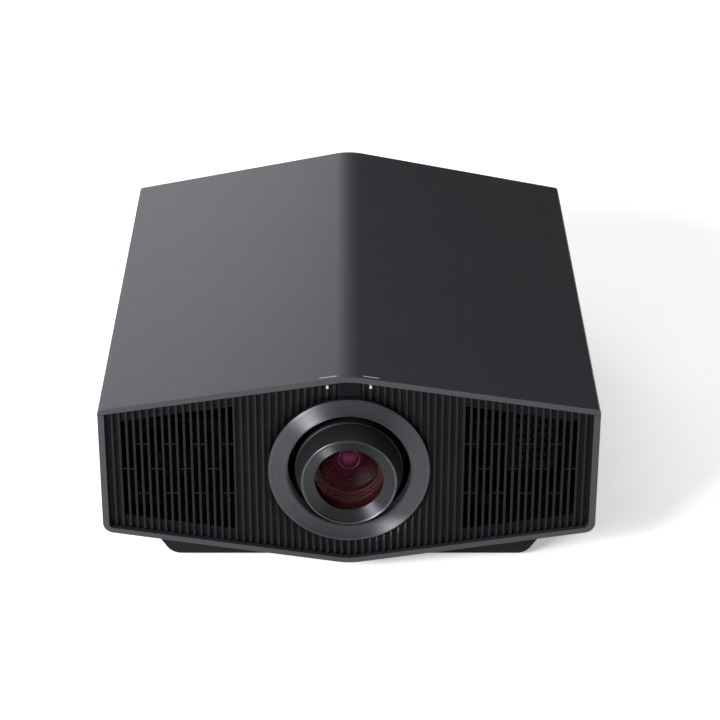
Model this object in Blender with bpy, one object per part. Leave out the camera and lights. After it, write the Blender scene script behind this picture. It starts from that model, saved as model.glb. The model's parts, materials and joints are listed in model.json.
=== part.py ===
"""Home projector: a wide ridged cabinet with a ribbed front grille, a centred shift lens, side keys
and sockets, and screw feet under a base pan. Sizes are in millimetres here and become metres in
add_object. X is the width, -Y the front, +Z up. The origin is on the ground under the middle."""

import math

import bmesh
import bpy
from mathutils import Vector

MM = 0.001

# Cabinet
BODY_WIDTH = 460.0
BODY_DEPTH = 515.6
SIDE_HEIGHT = 129.0
CENTRE_HEIGHT = 199.0
RIDGE_RISE = 8.0  # how much higher the ridge is at the rear
SIDE_FALL = 1.2  # how much lower the upper side corner is at the rear
PARTING_DROP = 5.2  # from the upper side corner down to the parting line
TOP_CORNER_RADIUS = 4.6
BOTTOM_CORNER_RADIUS = 10.5
RIDGE_RADIUS = 75.0
WALL = 2.6
RIM_SIDE = 6.2
RIM_FACE = 5.5
RIM_DEPTH = 14.0
EDGE_CHAMFER = 0.8
COVER_STATIONS = 5  # cross-sections along the upper casing, whose slopes twist a little
GAP = 0.3  # between pieces that touch
PARTING_GAP = 0.4

# Base pan and feet
BASE_DROP = 11.0  # pan floor below the lowest line of the cabinet
BASE_HALF_WIDTH = 169.0
BASE_END_LEAN = 35.0  # degrees from upright
BASE_SET_BACK = 35.0
BASE_REAR_SET_BACK = 42.0
BASE_WALL = 2.8
BASE_TOE_RADIUS = 16.0
BRACKET_X = 110.0  # ceiling bracket inserts, from the middle line
BRACKET_FROM_EDGE = 110.0
BRACKET_BOSS_RADIUS = 9.0
BRACKET_BOSS_PROUD = 1.0
INSERT_RADIUS = 2.1
INSERT_DEPTH = 12.0
FOOT_HEIGHT = 4.0
FOOT_RADIUS = 15.0
FOOT_FROM_END = 24.0  # from the end of the pan floor to a foot's axis
FOOT_FROM_EDGE = 45.0  # from the pan's front or rear edge to a foot's axis
FOOT_SCREW_RADIUS = 4.0
FOOT_TRAVEL = 10.0
FOOT_BOSS_RADIUS = 9.0
FOOT_BOSS_SHARE = 0.45  # of the room between the pan floor and the cabinet
FOOT_SCREW_SHARE = 0.7
FOOT_FLANGE = 3.0  # the screw's head past its shank
FOOT_SEAT = 1.6  # underside of the screw's head above the ground
REAR_FOOT_RADIUS = 12.0
FOOT_EDGE = 1.0  # chamfer round a foot

# Front grille
RIBS_PER_SIDE = 33
RIB_WIDTH = 2.4
RIB_SET_BACK = 3.2
RIB_CHAMFER = 2.0
PLATE_SET_BACK = 6.8
PLATE_THICKNESS = 2.2
WINDOW_FIRST_RIB = 16
WINDOW_LAST_RIB = 32
WINDOW_MARGIN = 12.6
TIE_HEIGHT = 1.0
TIE_STEP = 26.0
LIGHT_PIPE_RIB = 3
LIGHT_PIPE_HEIGHT = 5.0
RECEIVER_RIBS = 2  # the receiver window ends beside these ribs
SCREEN_SET_BACK = 13.0
SCREEN_THICKNESS = 1.0

# Lens opening and lens
LENS_ABOVE_MIDDLE = 0.85
SHIFT_GAP = 7.0  # round the barrel, for the lens shift
RING_SHARE = 0.478  # of the room between the opening and the rim
RING_PROUD = 1.0
COLLAR_WALL = 3.0
COLLAR_DEPTH = 13.0
SHROUD_WALL = 2.0
SHROUD_LENGTH = 36.0
BARREL_RADIUS = 50.0
BARREL_TIP_RADIUS = 43.0
BARREL_REACH = 20.7  # in front of the trim ring's face
BARREL_LENGTH = 170.0  # behind the front plane
BARREL_FLANGE = 6.0
BARREL_FLANGE_DEPTH = 8.0
BAFFLE_RADIUS = 31.7
BAFFLE_DEPTH = 5.7
BAFFLE_LIP = 3.6  # from the baffle's edge back to the glass's seat
GLASS_SET_BACK = 2.4
INNER_GLASS_GAP = 24.0  # from the front glass to the zoom group
GEAR_RING_FROM_SHROUD = 12.0
GEAR_RING_GAP = 10.0
GLASS_RADIUS = 34.2
GLASS_EDGE = 6.0
GLASS_BULGE = 5.0
ZOOM_CELL_LENGTH = 20.0
GEAR_RING_WALL = 5.0
GEAR_RING_WIDTH = 14.0
SHIFT_VERTICAL = 5.5
SHIFT_HORIZONTAL = 4.0
CARRIAGE_THICKNESS = 8.0
LEAD_SCREW_RADIUS = 3.0
RUNNING_GAP = 0.4
SHIFT_MOTOR_RADIUS = 8.0
SHIFT_MOTOR_LENGTH = 26.0
SHIFT_CLEAR = 1.5
SCREW_CLEAR = 5.0  # past the end of a lead screw
CARRIAGE_GAP = 1.3  # between the two plates
CARRIAGE_LIP = 12.0  # how far a plate's hole is inside the barrel's wall
CARRIAGE_OVERHANG = 26.0  # past the side of the optical block
NUT_OUT = 10.0  # from the lift plate's edge to its lead screw
NUT_HALF_WIDTH = 8.0
NUT_HALF_HEIGHT = 10.0

# Inside
INNER_CLEAR = 4.0  # between the inner pieces and the casings
CHASSIS_THICKNESS = 3.0
CHASSIS_ABOVE_CORNER = 6.0  # chassis underside above the casing's lower side corner
CHASSIS_FROM_FRONT = 46.0
CHASSIS_FROM_REAR = 24.0
CHASSIS_FROM_SIDE = 14.0
LENS_BAY_MARGIN = 50.0  # notch in the chassis past the side of the optical block
OPTICS_BEHIND_LIFT = 8.0
OPTICS_BELOW_COVER = 12.0
OPTICS_PORT_RADIUS = 30.0
PRISM_FROM_PORT = 20.0
PANEL_GAP = 3.0
OPTICS_HALF_WIDTH = 62.0
OPTICS_LENGTH = 115.0
OPTICS_WALL = 4.0
PRISM_SIDE = 30.0
PANEL_SIDE = 24.0
PANEL_THICKNESS = 3.0
FAN_SIDE = 92.0
FAN_DEPTH = 25.0
FAN_FROM_SCREEN = 3.0
FAN_WALL = 2.5
FAN_ARM_HALF = 3.0  # half the width of an arm, and its depth
FAN_HUB_RADIUS = 17.0
FAN_TIP_GAP = 2.0
FAN_BLADES = 7
BLADE_HALF_THICKNESS = 1.0
BLADE_HALF_SWEEP = 6.5
HEAT_SINK_FINS = 12
HEAT_SINK_LENGTH = 95.0
HEAT_SINK_BASE = 8.0
HEAT_SINK_FROM_BAY = 2.0
HEAT_SINK_FROM_FAN = 14.0
LASER_FROM_OPTICS = 6.0
WHEEL_RADIUS = 32.0
WHEEL_THICKNESS = 1.5
WHEEL_FROM_OPTICS = 18.0
WHEEL_HUB_RADIUS = 10.0
WHEEL_HUB_LENGTH = 10.0
WHEEL_MOTOR_RADIUS = 14.0
WHEEL_MOTOR_LENGTH = 18.0
POWER_FROM_OPTICS = 12.0
POWER_FROM_MIDDLE = 8.0
POWER_ABOVE_LENS = 10.0
POWER_FROM_FILTER = 14.0
FILTER_THICKNESS = 8.0
FILTER_GAP = 2.0
FILTER_FROM_WALL = 14.0
FILTER_FROM_CASING = 6.0

# Rear panel, side bay, sockets and keys
REAR_SET_BACK = 3.0
REAR_PANEL_THICKNESS = 3.0
REAR_SLOT_COUNT = 22
REAR_SLOT_WIDTH = 3.0
REAR_SLOT_PITCH = 8.0
REAR_SLOT_MARGIN = 16.0
BAY_LENGTH = 190.0
BAY_HEIGHT = 34.0
BAY_CORNER = 4.0
BAY_FROM_REAR = 40.0
BAY_ABOVE_CORNER = 14.0
BAY_DEPTH = 7.0  # from the outer side to the connector plate's face
SOCKET_DEPTH = 20.0
SOCKET_WALL = 1.0
BOARD_THICKNESS = 1.6
BOARD_FROM_SOCKETS = 6.0
BOARD_ABOVE_BAY = 8.0
CONNECTOR_PLATE_THICKNESS = 1.5
CONNECTOR_PLATE_MARGIN = 6.0
SOCKET_PROUD = 1.0
# Name, mouth width and height, depth, and place along the bay as a share of its length
SOCKETS = [
    ("hdmi_socket_1", 14.0, 5.4, 12.0, 0.1),
    ("hdmi_socket_2", 14.0, 5.4, 12.0, 0.2667),
    ("lan_socket", 11.8, 8.6, 13.0, 0.4333),
    ("usb_socket", 12.6, 5.4, 12.0, 0.6),
    ("mains_inlet", 24.6, 17.0, 16.0, 0.8333),
]
INLET_BLADES = [(-7.0, -1.5), (0.0, 3.0), (7.0, -1.5)]
KEYPAD_LENGTH = 104.0
KEYPAD_HEIGHT = 34.0
KEYPAD_ABOVE_BAY = 14.0
KEYPAD_RECESS = 1.0
KEYPAD_CORNER = 3.0
KEY_TRAVEL = 0.8
KEY_FLANGE = 1.2
KEY_BELOW_SIDE = 0.2
KEY_EDGE = 0.4
# Name, place along the keypad and height, both from its middle, width and height
KEYS = [
    ("power_key", -40.0, 0.0, 11.0, 11.0),
    ("input_key", -20.0, 6.5, 14.0, 7.0),
    ("menu_key", -20.0, -6.5, 14.0, 7.0),
    ("up_key", 20.0, 10.5, 9.0, 7.0),
    ("down_key", 20.0, -10.5, 9.0, 7.0),
    ("left_key", 7.0, 0.0, 7.0, 9.0),
    ("right_key", 33.0, 0.0, 7.0, 9.0),
    ("enter_key", 20.0, 0.0, 11.0, 11.0),
]

# Places worked out from the sizes above
half_width = BODY_WIDTH / 2
base_floor = FOOT_HEIGHT
bottom_apex = base_floor + BASE_DROP
top_apex = bottom_apex + CENTRE_HEIGHT
corner_fall = (CENTRE_HEIGHT - SIDE_HEIGHT) / 2
bottom_corner = bottom_apex + corner_fall
top_corner = top_apex - corner_fall
parting = top_corner - PARTING_DROP
lens_z = bottom_apex + CENTRE_HEIGHT / 2 + LENS_ABOVE_MIDDLE
nose = RING_PROUD + BARREL_REACH
front = nose - (nose + BODY_DEPTH) / 2
rear = front + BODY_DEPTH
ring_bore = BARREL_RADIUS + SHIFT_GAP
ring_radius = ring_bore + RING_SHARE * (CENTRE_HEIGHT / 2 - RIM_FACE - ring_bore)
rib_pitch = (half_width - RIM_SIDE) / (RIBS_PER_SIDE + 1)
plate_front = front + PLATE_SET_BACK
plate_back = plate_front + PLATE_THICKNESS
window_middle = (WINDOW_FIRST_RIB + WINDOW_LAST_RIB) / 2 * rib_pitch
chassis_low = bottom_corner + CHASSIS_ABOVE_CORNER
chassis_top = chassis_low + CHASSIS_THICKNESS
deck = chassis_top + GAP
barrel_end = front + BARREL_LENGTH
inner_half = half_width - WALL - INNER_CLEAR
lens_bay = OPTICS_HALF_WIDTH + LENS_BAY_MARGIN
block_side = inner_half - CHASSIS_FROM_SIDE - INNER_CLEAR
rear_inner = rear - REAR_SET_BACK - REAR_PANEL_THICKNESS
bay_rear = rear - BAY_FROM_REAR
bay_front = bay_rear - BAY_LENGTH
bay_low = bottom_corner + BAY_ABOVE_CORNER
bay_high = bay_low + BAY_HEIGHT
keypad_low = bay_high + KEYPAD_ABOVE_BAY
keypad_high = keypad_low + KEYPAD_HEIGHT
keypad_rear = bay_rear
keypad_front = keypad_rear - KEYPAD_LENGTH
connector_face = half_width - BAY_DEPTH
connector_back = connector_face - CONNECTOR_PLATE_THICKNESS
base_front = front + BASE_SET_BACK
base_rear = rear - BASE_REAR_SET_BACK
foot_x = BASE_HALF_WIDTH - FOOT_FROM_END
foot_room = bottom_apex + corner_fall * foot_x / half_width - base_floor
foot_boss_top = base_floor + FOOT_BOSS_SHARE * foot_room

# Colour, roughness and metallic value of each finish
FINISHES = {
    "casing": ((0.030, 0.031, 0.034), 0.42, 0.0),
    "grille": ((0.018, 0.018, 0.020), 0.50, 0.0),
    "trim": ((0.090, 0.090, 0.095), 0.32, 1.0),
    "barrel": ((0.020, 0.020, 0.022), 0.35, 0.0),
    "glass": ((0.200, 0.030, 0.080), 0.05, 0.0),
    "rubber": ((0.015, 0.015, 0.015), 0.80, 0.0),
    "steel": ((0.450, 0.450, 0.460), 0.35, 1.0),
    "aluminium": ((0.600, 0.600, 0.620), 0.40, 1.0),
    "board": ((0.020, 0.120, 0.050), 0.55, 0.0),
    "socket": ((0.080, 0.080, 0.085), 0.50, 0.0),
    "key": ((0.040, 0.040, 0.043), 0.45, 0.0),
    "light_pipe": ((0.750, 0.760, 0.780), 0.25, 0.0),
    "foam": ((0.060, 0.060, 0.065), 0.95, 0.0),
    "phosphor": ((0.750, 0.650, 0.120), 0.60, 0.0),
}


def clear_scene():
    for item in list(bpy.data.objects):
        bpy.data.objects.remove(item)


def finish_material(finish):
    found = bpy.data.materials.get(finish)
    if found:
        return found
    colour, roughness, metallic = FINISHES[finish]
    material = bpy.data.materials.new(finish)
    material.use_nodes = True
    shader = material.node_tree.nodes["Principled BSDF"]
    shader.inputs["Base Color"].default_value = (*colour, 1.0)
    shader.inputs["Roughness"].default_value = roughness
    shader.inputs["Metallic"].default_value = metallic
    material.diffuse_color = (*colour, 1.0)
    return material


def add_object(name, bm, finish, origin=(0.0, 0.0, 0.0), round_piece=False):
    """The mesh, drawn in millimetres in the world, as an object whose origin is at the given place."""
    start = Vector(origin)
    for vertex in bm.verts:
        vertex.co = (vertex.co - start) * MM
    bmesh.ops.recalc_face_normals(bm, faces=bm.faces)
    mesh = bpy.data.meshes.new(name)
    bm.to_mesh(mesh)
    bm.free()
    mesh.materials.append(finish_material(finish))
    if round_piece:
        mesh.shade_smooth()
        mesh.set_sharp_from_angle(angle=math.radians(30))
    made = bpy.data.objects.new(name, mesh)
    made.location = start * MM
    bpy.context.scene.collection.objects.link(made)
    return made


def add_tool(name, bm):
    """A hidden shape that a Boolean reads."""
    tool = add_object(name, bm, "casing")
    tool.hide_render = True
    tool.display_type = "WIRE"
    return tool


def combine(target, operation, tool):
    change = target.modifiers.new(tool.name, "BOOLEAN")
    change.operation = operation
    change.object = tool


# Shapes


def add_box(bm, low, high):
    corners = [
        bm.verts.new((x, y, z)) for x in (low[0], high[0]) for y in (low[1], high[1])
        for z in (low[2], high[2])
    ]
    for face in ((0, 1, 3, 2), (4, 6, 7, 5), (0, 4, 5, 1), (2, 3, 7, 6), (0, 2, 6, 4), (1, 5, 7, 3)):
        bm.faces.new([corners[i] for i in face])


def box(low, high):
    bm = bmesh.new()
    add_box(bm, low, high)
    return bm


def placed(u, v, along, axis):
    """A point of a flat drawing (u, v) that stands along an axis."""
    return {"X": (along, u, v), "Y": (u, along, v), "Z": (u, v, along)}[axis]


def add_loft(bm, rings, ends=True):
    """Closed rings of equal length joined in turn, with both ends closed."""
    made = [[bm.verts.new(point) for point in ring] for ring in rings]
    count = len(made[0])
    for lower, upper in zip(made, made[1:]):
        for i in range(count):
            j = (i + 1) % count
            bm.faces.new((lower[i], lower[j], upper[j], upper[i]))
    if ends:
        bm.faces.new(made[0])
        bm.faces.new(made[-1])


def add_prism(bm, outline, axis, low, high):
    add_loft(bm, [[placed(u, v, along, axis) for u, v in outline] for along in (low, high)])


def prism(outline, axis, low, high):
    bm = bmesh.new()
    add_prism(bm, outline, axis, low, high)
    return bm


def circle(radius, middle=(0.0, 0.0), steps=32):
    turns = [2 * math.pi * i / steps for i in range(steps)]
    return [(middle[0] + radius * math.cos(a), middle[1] + radius * math.sin(a)) for a in turns]


def add_turned(bm, profile, middle, axis, steps=32):
    """Turns (radius, along) points round an axis. A radius of 0 is a pole."""
    rings = []
    for radius, along in profile:
        if radius == 0:
            rings.append([bm.verts.new(placed(*middle, along, axis))])
        else:
            points = circle(radius, middle, steps)
            rings.append([bm.verts.new(placed(u, v, along, axis)) for u, v in points])
    hollow = profile[0][0] > 0
    following = rings[1:] + rings[:1] if hollow else rings[1:]
    for one, other in zip(rings, following):
        for i in range(steps):
            j = (i + 1) % steps
            if len(one) == 1:
                bm.faces.new((one[0], other[i], other[j]))
            elif len(other) == 1:
                bm.faces.new((one[i], one[j], other[0]))
            else:
                bm.faces.new((one[i], one[j], other[j], other[i]))


def turned(profile, middle, axis, steps=32):
    bm = bmesh.new()
    add_turned(bm, profile, middle, axis, steps)
    return bm


def rod(radius, middle, axis, low, high, steps=24):
    return prism(circle(radius, middle, steps), axis, low, high)


def fillet(before, corner, after, radius, steps):
    """Points of the arc that rounds a corner between two lines."""
    corner = Vector(corner)
    one = (Vector(before) - corner).normalized()
    other = (Vector(after) - corner).normalized()
    half = one.angle(other) / 2
    middle = corner + (one + other).normalized() * radius / math.sin(half)
    start = corner + one * radius / math.tan(half) - middle
    end = corner + other * radius / math.tan(half) - middle
    first = math.atan2(start.y, start.x)
    sweep = math.atan2(end.y, end.x) - first
    sweep = (sweep + math.pi) % (2 * math.pi) - math.pi
    turns = [first + sweep * i / steps for i in range(steps + 1)]
    return [(middle.x + radius * math.cos(a), middle.y + radius * math.sin(a)) for a in turns]


def rounded_rectangle(middle, width, height, radius, steps=2):
    u, v = middle
    corners = [(u - width / 2, v - height / 2), (u + width / 2, v - height / 2)]
    corners += [(u + width / 2, v + height / 2), (u - width / 2, v + height / 2)]
    points = []
    for i, corner in enumerate(corners):
        points += fillet(corners[i - 1], corner, corners[(i + 1) % 4], radius, steps)
    return points


# The cabinet's cross-section


def face_line(side_inset, face_inset, share=0.0, upper=True, joint=parting):
    """The upper or lower half of the cabinet's outline, from the left joint to the right one.
    Insets are measured square to the side and to the sloping face; share runs from the front, 0, to
    the rear, 1."""
    half = half_width - side_inset
    if upper:
        apex = top_apex + RIDGE_RISE * share
        corner = top_corner - SIDE_FALL * share
        start, sign, largest = joint + PARTING_GAP / 2, 1, TOP_CORNER_RADIUS
    else:
        apex, corner = bottom_apex, bottom_corner
        start, sign, largest = joint - PARTING_GAP / 2, -1, BOTTOM_CORNER_RADIUS
    slope = abs(apex - corner) / half_width
    turn = math.atan(slope)
    apex -= sign * face_inset / math.cos(turn)
    corner = apex - sign * slope * half
    reach = math.tan((math.pi / 2 - turn) / 2)
    radius = max(min(largest - side_inset, abs(corner - start) * 0.8 / reach), 0.2)
    ridge = RIDGE_RADIUS - face_inset
    left, right = (-half, corner), (half, corner)
    points = [(-half, start)]
    points += fillet((-half, start), left, (0, apex), radius, 5)
    points += fillet(left, (0, apex), right, ridge, 8)
    points += fillet((0, apex), right, (half, start), radius, 5)
    points.append((half, start))
    return points


def outline(side_inset, face_inset, share=0.0):
    """The whole cross-section as one closed line, with no joint in its sides."""
    upper = face_line(side_inset, face_inset, share, True, lens_z)
    lower = face_line(side_inset, face_inset, share, False, lens_z)
    return upper[1:-1] + lower[-2:0:-1]


def face_height(x, inset, share=0.0, upper=True):
    """Height of the sloping face, measured at x, on a surface inset from it."""
    apex = top_apex + RIDGE_RISE * share if upper else bottom_apex
    corner = top_corner - SIDE_FALL * share if upper else bottom_corner
    slope = abs(apex - corner) / half_width
    turn = math.atan(slope)
    sign = 1 if upper else -1
    apex -= sign * inset / math.cos(turn)
    ridge = RIDGE_RADIUS - inset
    if abs(x) < ridge * math.sin(turn):
        return apex - sign * (ridge / math.cos(turn) - math.sqrt(ridge**2 - x**2))
    return apex - sign * slope * abs(x)


def casing_half(upper):
    """One half shell: a thick rim round the front, then a thin wall to the rear."""
    c = EDGE_CHAMFER
    steps = COVER_STATIONS if upper else 1
    reach = BODY_DEPTH - RIM_DEPTH
    stations = [(front, c, c), (front + c, 0.0, 0.0)]
    stations += [(front + RIM_DEPTH + reach * i / steps, 0.0, 0.0) for i in range(1, steps)]
    stations += [(rear - c, 0.0, 0.0), (rear, c, c), (rear, WALL, WALL)]
    stations += [(rear - reach * i / steps, WALL, WALL) for i in range(1, steps)]
    stations += [(front + RIM_DEPTH, WALL, WALL), (front + RIM_DEPTH, RIM_SIDE, RIM_FACE)]
    stations += [(front, RIM_SIDE, RIM_FACE)]
    bm = bmesh.new()
    rings = []
    for y, side, face in stations:
        line = face_line(side, face, (y - front) / BODY_DEPTH, upper)
        rings.append([bm.verts.new((x, y, z)) for x, z in line])
    for one, other in zip(rings, rings[1:] + rings[:1]):
        for i in range(len(one) - 1):
            bm.faces.new((one[i], one[i + 1], other[i + 1], other[i]))
    bm.faces.new([ring[0] for ring in rings])
    bm.faces.new([ring[-1] for ring in rings])
    return bm


def make_casings():
    add_object("top_cover", casing_half(True), "casing", round_piece=True)
    casing = add_object("bottom_casing", casing_half(False), "casing", round_piece=True)
    bay = rounded_rectangle(
        ((bay_front + bay_rear) / 2, (bay_low + bay_high) / 2),
        BAY_LENGTH, BAY_HEIGHT, BAY_CORNER
    )
    keys = rounded_rectangle(
        ((keypad_front + keypad_rear) / 2, (keypad_low + keypad_high) / 2),
        KEYPAD_LENGTH, KEYPAD_HEIGHT, KEYPAD_CORNER
    )
    bm = prism(bay, "X", half_width - WALL * 2, half_width + WALL)
    add_prism(bm, keys, "X", half_width - WALL * 2, half_width + WALL)
    combine(casing, "DIFFERENCE", add_tool("side_openings", bm))


def window_outline(side):
    """The sloping-sided window of the plate, as points of a front view."""
    inner = WINDOW_FIRST_RIB * rib_pitch
    outer = WINDOW_LAST_RIB * rib_pitch
    inset = RIM_FACE + WINDOW_MARGIN
    low = [(x, face_height(x, inset, upper=False)) for x in (inner, outer)]
    high = [(x, face_height(x, inset)) for x in (outer, inner)]
    return [(side * x, z) for x, z in low + high]


def add_rib(bm, number):
    x = number * rib_pitch
    reach = abs(x) + RIB_WIDTH / 2
    inset = RIM_FACE + 2 * GAP
    low = face_height(reach, inset, upper=False)
    high = face_height(reach, inset)
    start, c = front + RIB_SET_BACK, RIB_CHAMFER
    end = plate_back - PLATE_THICKNESS / 4
    side = [(end, low), (start + c, low), (start, low + c)]
    side += [(start, high - c), (start + c, high), (end, high)]
    add_prism(bm, side, "X", x - RIB_WIDTH / 2, x + RIB_WIDTH / 2)


def add_tie(bm, number, height):
    x = number * rib_pitch
    start = front + RIB_SET_BACK + RIB_CHAMFER / 2
    end = plate_back - PLATE_THICKNESS / 2
    low = (x - rib_pitch, start, height - TIE_HEIGHT / 2)
    add_box(bm, low, (x + rib_pitch, end, height + TIE_HEIGHT / 2))


def make_grille():
    plate = prism(outline(RIM_SIDE + GAP, RIM_FACE + GAP), "Y", plate_front, plate_back)
    grille = add_object("front_grille", plate, "grille")
    windows = bmesh.new()
    for side in (-1, 1):
        add_prism(windows, window_outline(side), "Y", plate_front - 1, plate_back + 1)
    combine(grille, "DIFFERENCE", add_tool("windows", windows))
    ribs = bmesh.new()
    for number in range(-RIBS_PER_SIDE, RIBS_PER_SIDE + 1):
        add_rib(ribs, number)
    combine(grille, "UNION", add_tool("ribs", ribs))
    ties = bmesh.new()
    for side in (-1, 1):
        for number in range(WINDOW_FIRST_RIB + 1, WINDOW_LAST_RIB - 1, 4):
            for height in (lens_z - TIE_STEP, lens_z + TIE_STEP):
                add_tie(ties, side * number, height)
            add_tie(ties, side * (number + 2), lens_z)
    combine(grille, "UNION", add_tool("ties", ties))
    recess = rod(ring_radius + GAP + 0.2, (0, lens_z), "Y", front - 5, plate_front + GAP / 2, 48)
    combine(grille, "DIFFERENCE", add_tool("ring_recess", recess))
    hole = rod(ring_bore + COLLAR_WALL + 2 * GAP, (0, lens_z), "Y", front - 5, plate_back + 5, 48)
    combine(grille, "DIFFERENCE", add_tool("collar_hole", hole))
    make_light_pipes(grille)
    make_receiver(grille)


def make_light_pipes(grille):
    """Two small clear bars in place of the upper ends of two ribs."""
    seats = bmesh.new()
    for side, name in ((-1, "light_pipe_left"), (1, "light_pipe_right")):
        x = side * LIGHT_PIPE_RIB * rib_pitch
        high = face_height(abs(x) + RIB_WIDTH / 2, RIM_FACE + 2 * GAP) - RIB_CHAMFER
        low = high - LIGHT_PIPE_HEIGHT
        half = RIB_WIDTH / 2
        start, end = front + RIB_SET_BACK, plate_front - GAP
        pipe = box((x - half, start, low), (x + half, end, high))
        add_object(name, pipe, "light_pipe")
        add_box(
            seats,
            (x - half - GAP, start - 1, low - GAP),
            (x + half + GAP, end + GAP / 2, high + RIB_CHAMFER + GAP),
        )
    combine(grille, "DIFFERENCE", add_tool("light_pipe_seats", seats))


def make_receiver(grille):
    """A dark window for the remote control, in place of the three ribs above the lens."""
    half = RECEIVER_RIBS * rib_pitch - RIB_WIDTH / 2 - 2 * GAP
    low = lens_z + ring_radius + 1.0
    high = face_height(half, RIM_FACE + 3 * GAP)
    start, end = front + RIB_SET_BACK + 1.0, plate_front - GAP
    add_object("remote_receiver", box((-half, start, low), (half, end, high)), "barrel")
    seat = box((-half - GAP, start - 5, low - 5), (half + GAP, end + GAP, top_apex))
    combine(grille, "DIFFERENCE", add_tool("receiver_seat", seat))


def make_trim_ring():
    face, back = front - RING_PROUD, plate_front - GAP / 2
    collar = ring_bore + COLLAR_WALL
    profile = [
        (ring_bore, face + 1.6),
        (ring_bore + 1.6, face),
        (ring_radius - 0.8, face + 0.5),
        (ring_radius, face + 1.3),
        (ring_radius, back),
        (collar, back),
        (collar, front + COLLAR_DEPTH),
        (ring_bore, front + COLLAR_DEPTH),
    ]
    ring = turned(profile, (0, lens_z), "Y", 48)
    add_object("lens_trim_ring", ring, "trim", (0, face, lens_z), True)
    bore = collar + 1.5
    start = plate_back + GAP
    profile = [
        (bore, start),
        (bore + 8, start),
        (bore + 8, start + 2),
        (bore + SHROUD_WALL, start + 2),
        (bore + SHROUD_WALL, start + SHROUD_LENGTH),
        (bore, start + SHROUD_LENGTH),
    ]
    shroud = turned(profile, (0, lens_z), "Y", 32)
    add_object("lens_shroud", shroud, "barrel", (0, start, lens_z), True)


def make_vent_screen():
    low_x = window_middle - 1.6 * rib_pitch
    high_x = low_x + 6.8 * rib_pitch
    start = front + SCREEN_SET_BACK
    top = face_height(high_x, RIM_FACE + WINDOW_MARGIN - 4)
    screen = box((low_x, start, lens_z - 4), (high_x, start + SCREEN_THICKNESS, top))
    add_object("vent_screen", screen, "socket")


def make_rear_panel():
    start = rear - REAR_SET_BACK - REAR_PANEL_THICKNESS
    end = rear - REAR_SET_BACK
    share = (start - front) / BODY_DEPTH
    inset = WALL + GAP
    panel = add_object(
        "rear_panel", prism(outline(inset, inset + 0.1, share), "Y", start, end), "casing"
    )
    slots = bmesh.new()
    for side in (-1, 1):
        for i in range(REAR_SLOT_COUNT):
            x = side * (half_width - REAR_SLOT_MARGIN - WALL - i * REAR_SLOT_PITCH)
            low = face_height(x, REAR_SLOT_MARGIN + WALL, upper=False)
            high = face_height(x, REAR_SLOT_MARGIN + WALL, share)
            half = REAR_SLOT_WIDTH / 2
            add_box(slots, (x - half, start - 1, low), (x + half, end + 1, high))
    combine(panel, "DIFFERENCE", add_tool("rear_slots", slots))


def make_base():
    lean = math.tan(math.radians(BASE_END_LEAN))
    slope = corner_fall / half_width
    gap = GAP + 0.2

    def end_x(half, floor, lift):
        """Where a leaning end meets the cabinet's underside."""
        return (half + lean * (bottom_apex - lift - floor)) / (1 - lean * slope)

    def under(x, lift):
        return face_height(x, -lift, upper=False)

    outer_x = end_x(BASE_HALF_WIDTH, base_floor, gap)
    top = [(x, under(x, gap)) for x in (outer_x, 10.5, 7.0, 3.5, 0.0)]  # the last few round the ridge
    top += [(-x, z) for x, z in top[::-1][1:]]
    end_line = (BASE_HALF_WIDTH, base_floor), (outer_x, under(outer_x, gap))
    toe = fillet((0, base_floor), *end_line, BASE_TOE_RADIUS, 6)
    heel = [(-x, z) for x, z in toe[::-1]]
    shell = add_object("base_pan", prism(toe + top + heel, "Y", base_front, base_rear), "casing")
    inner_half_width = BASE_HALF_WIDTH - BASE_WALL - BASE_TOE_RADIUS / 4
    floor = base_floor + BASE_WALL
    reach = end_x(inner_half_width, floor, -5)
    hollow = [(-inner_half_width, floor), (inner_half_width, floor), (reach, under(reach, -5))]
    hollow += [(-reach, under(reach, -5))]
    cavity = prism(hollow, "Y", base_front + BASE_WALL, base_rear - BASE_WALL)
    combine(shell, "DIFFERENCE", add_tool("pan_hollow", cavity))
    bosses, holes = bmesh.new(), bmesh.new()
    for x, y, front_foot in foot_places():
        if front_foot:
            outline_round = circle(FOOT_BOSS_RADIUS, (x, y), 24)
            add_prism(bosses, outline_round, "Z", base_floor + 1, foot_boss_top)
            bore = circle(FOOT_SCREW_RADIUS + RUNNING_GAP, (x, y), 24)
            add_prism(holes, bore, "Z", base_floor - 1, foot_boss_top + 1)
    seat = base_floor - BRACKET_BOSS_PROUD
    for x in (-BRACKET_X, BRACKET_X):
        for y in (base_front + BRACKET_FROM_EDGE, base_rear - BRACKET_FROM_EDGE):
            boss = circle(BRACKET_BOSS_RADIUS, (x, y), 24)
            add_prism(bosses, boss, "Z", seat, seat + INSERT_DEPTH + 3)
            insert = circle(INSERT_RADIUS, (x, y), 16)
            add_prism(holes, insert, "Z", seat - 1, seat + INSERT_DEPTH)
    combine(shell, "UNION", add_tool("foot_bosses", bosses))
    combine(shell, "DIFFERENCE", add_tool("foot_bores", holes))


def foot_places():
    for y, is_front in ((base_front + FOOT_FROM_EDGE, True), (base_rear - FOOT_FROM_EDGE, False)):
        for side in (-1, 1):
            yield side * foot_x, y, is_front


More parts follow.
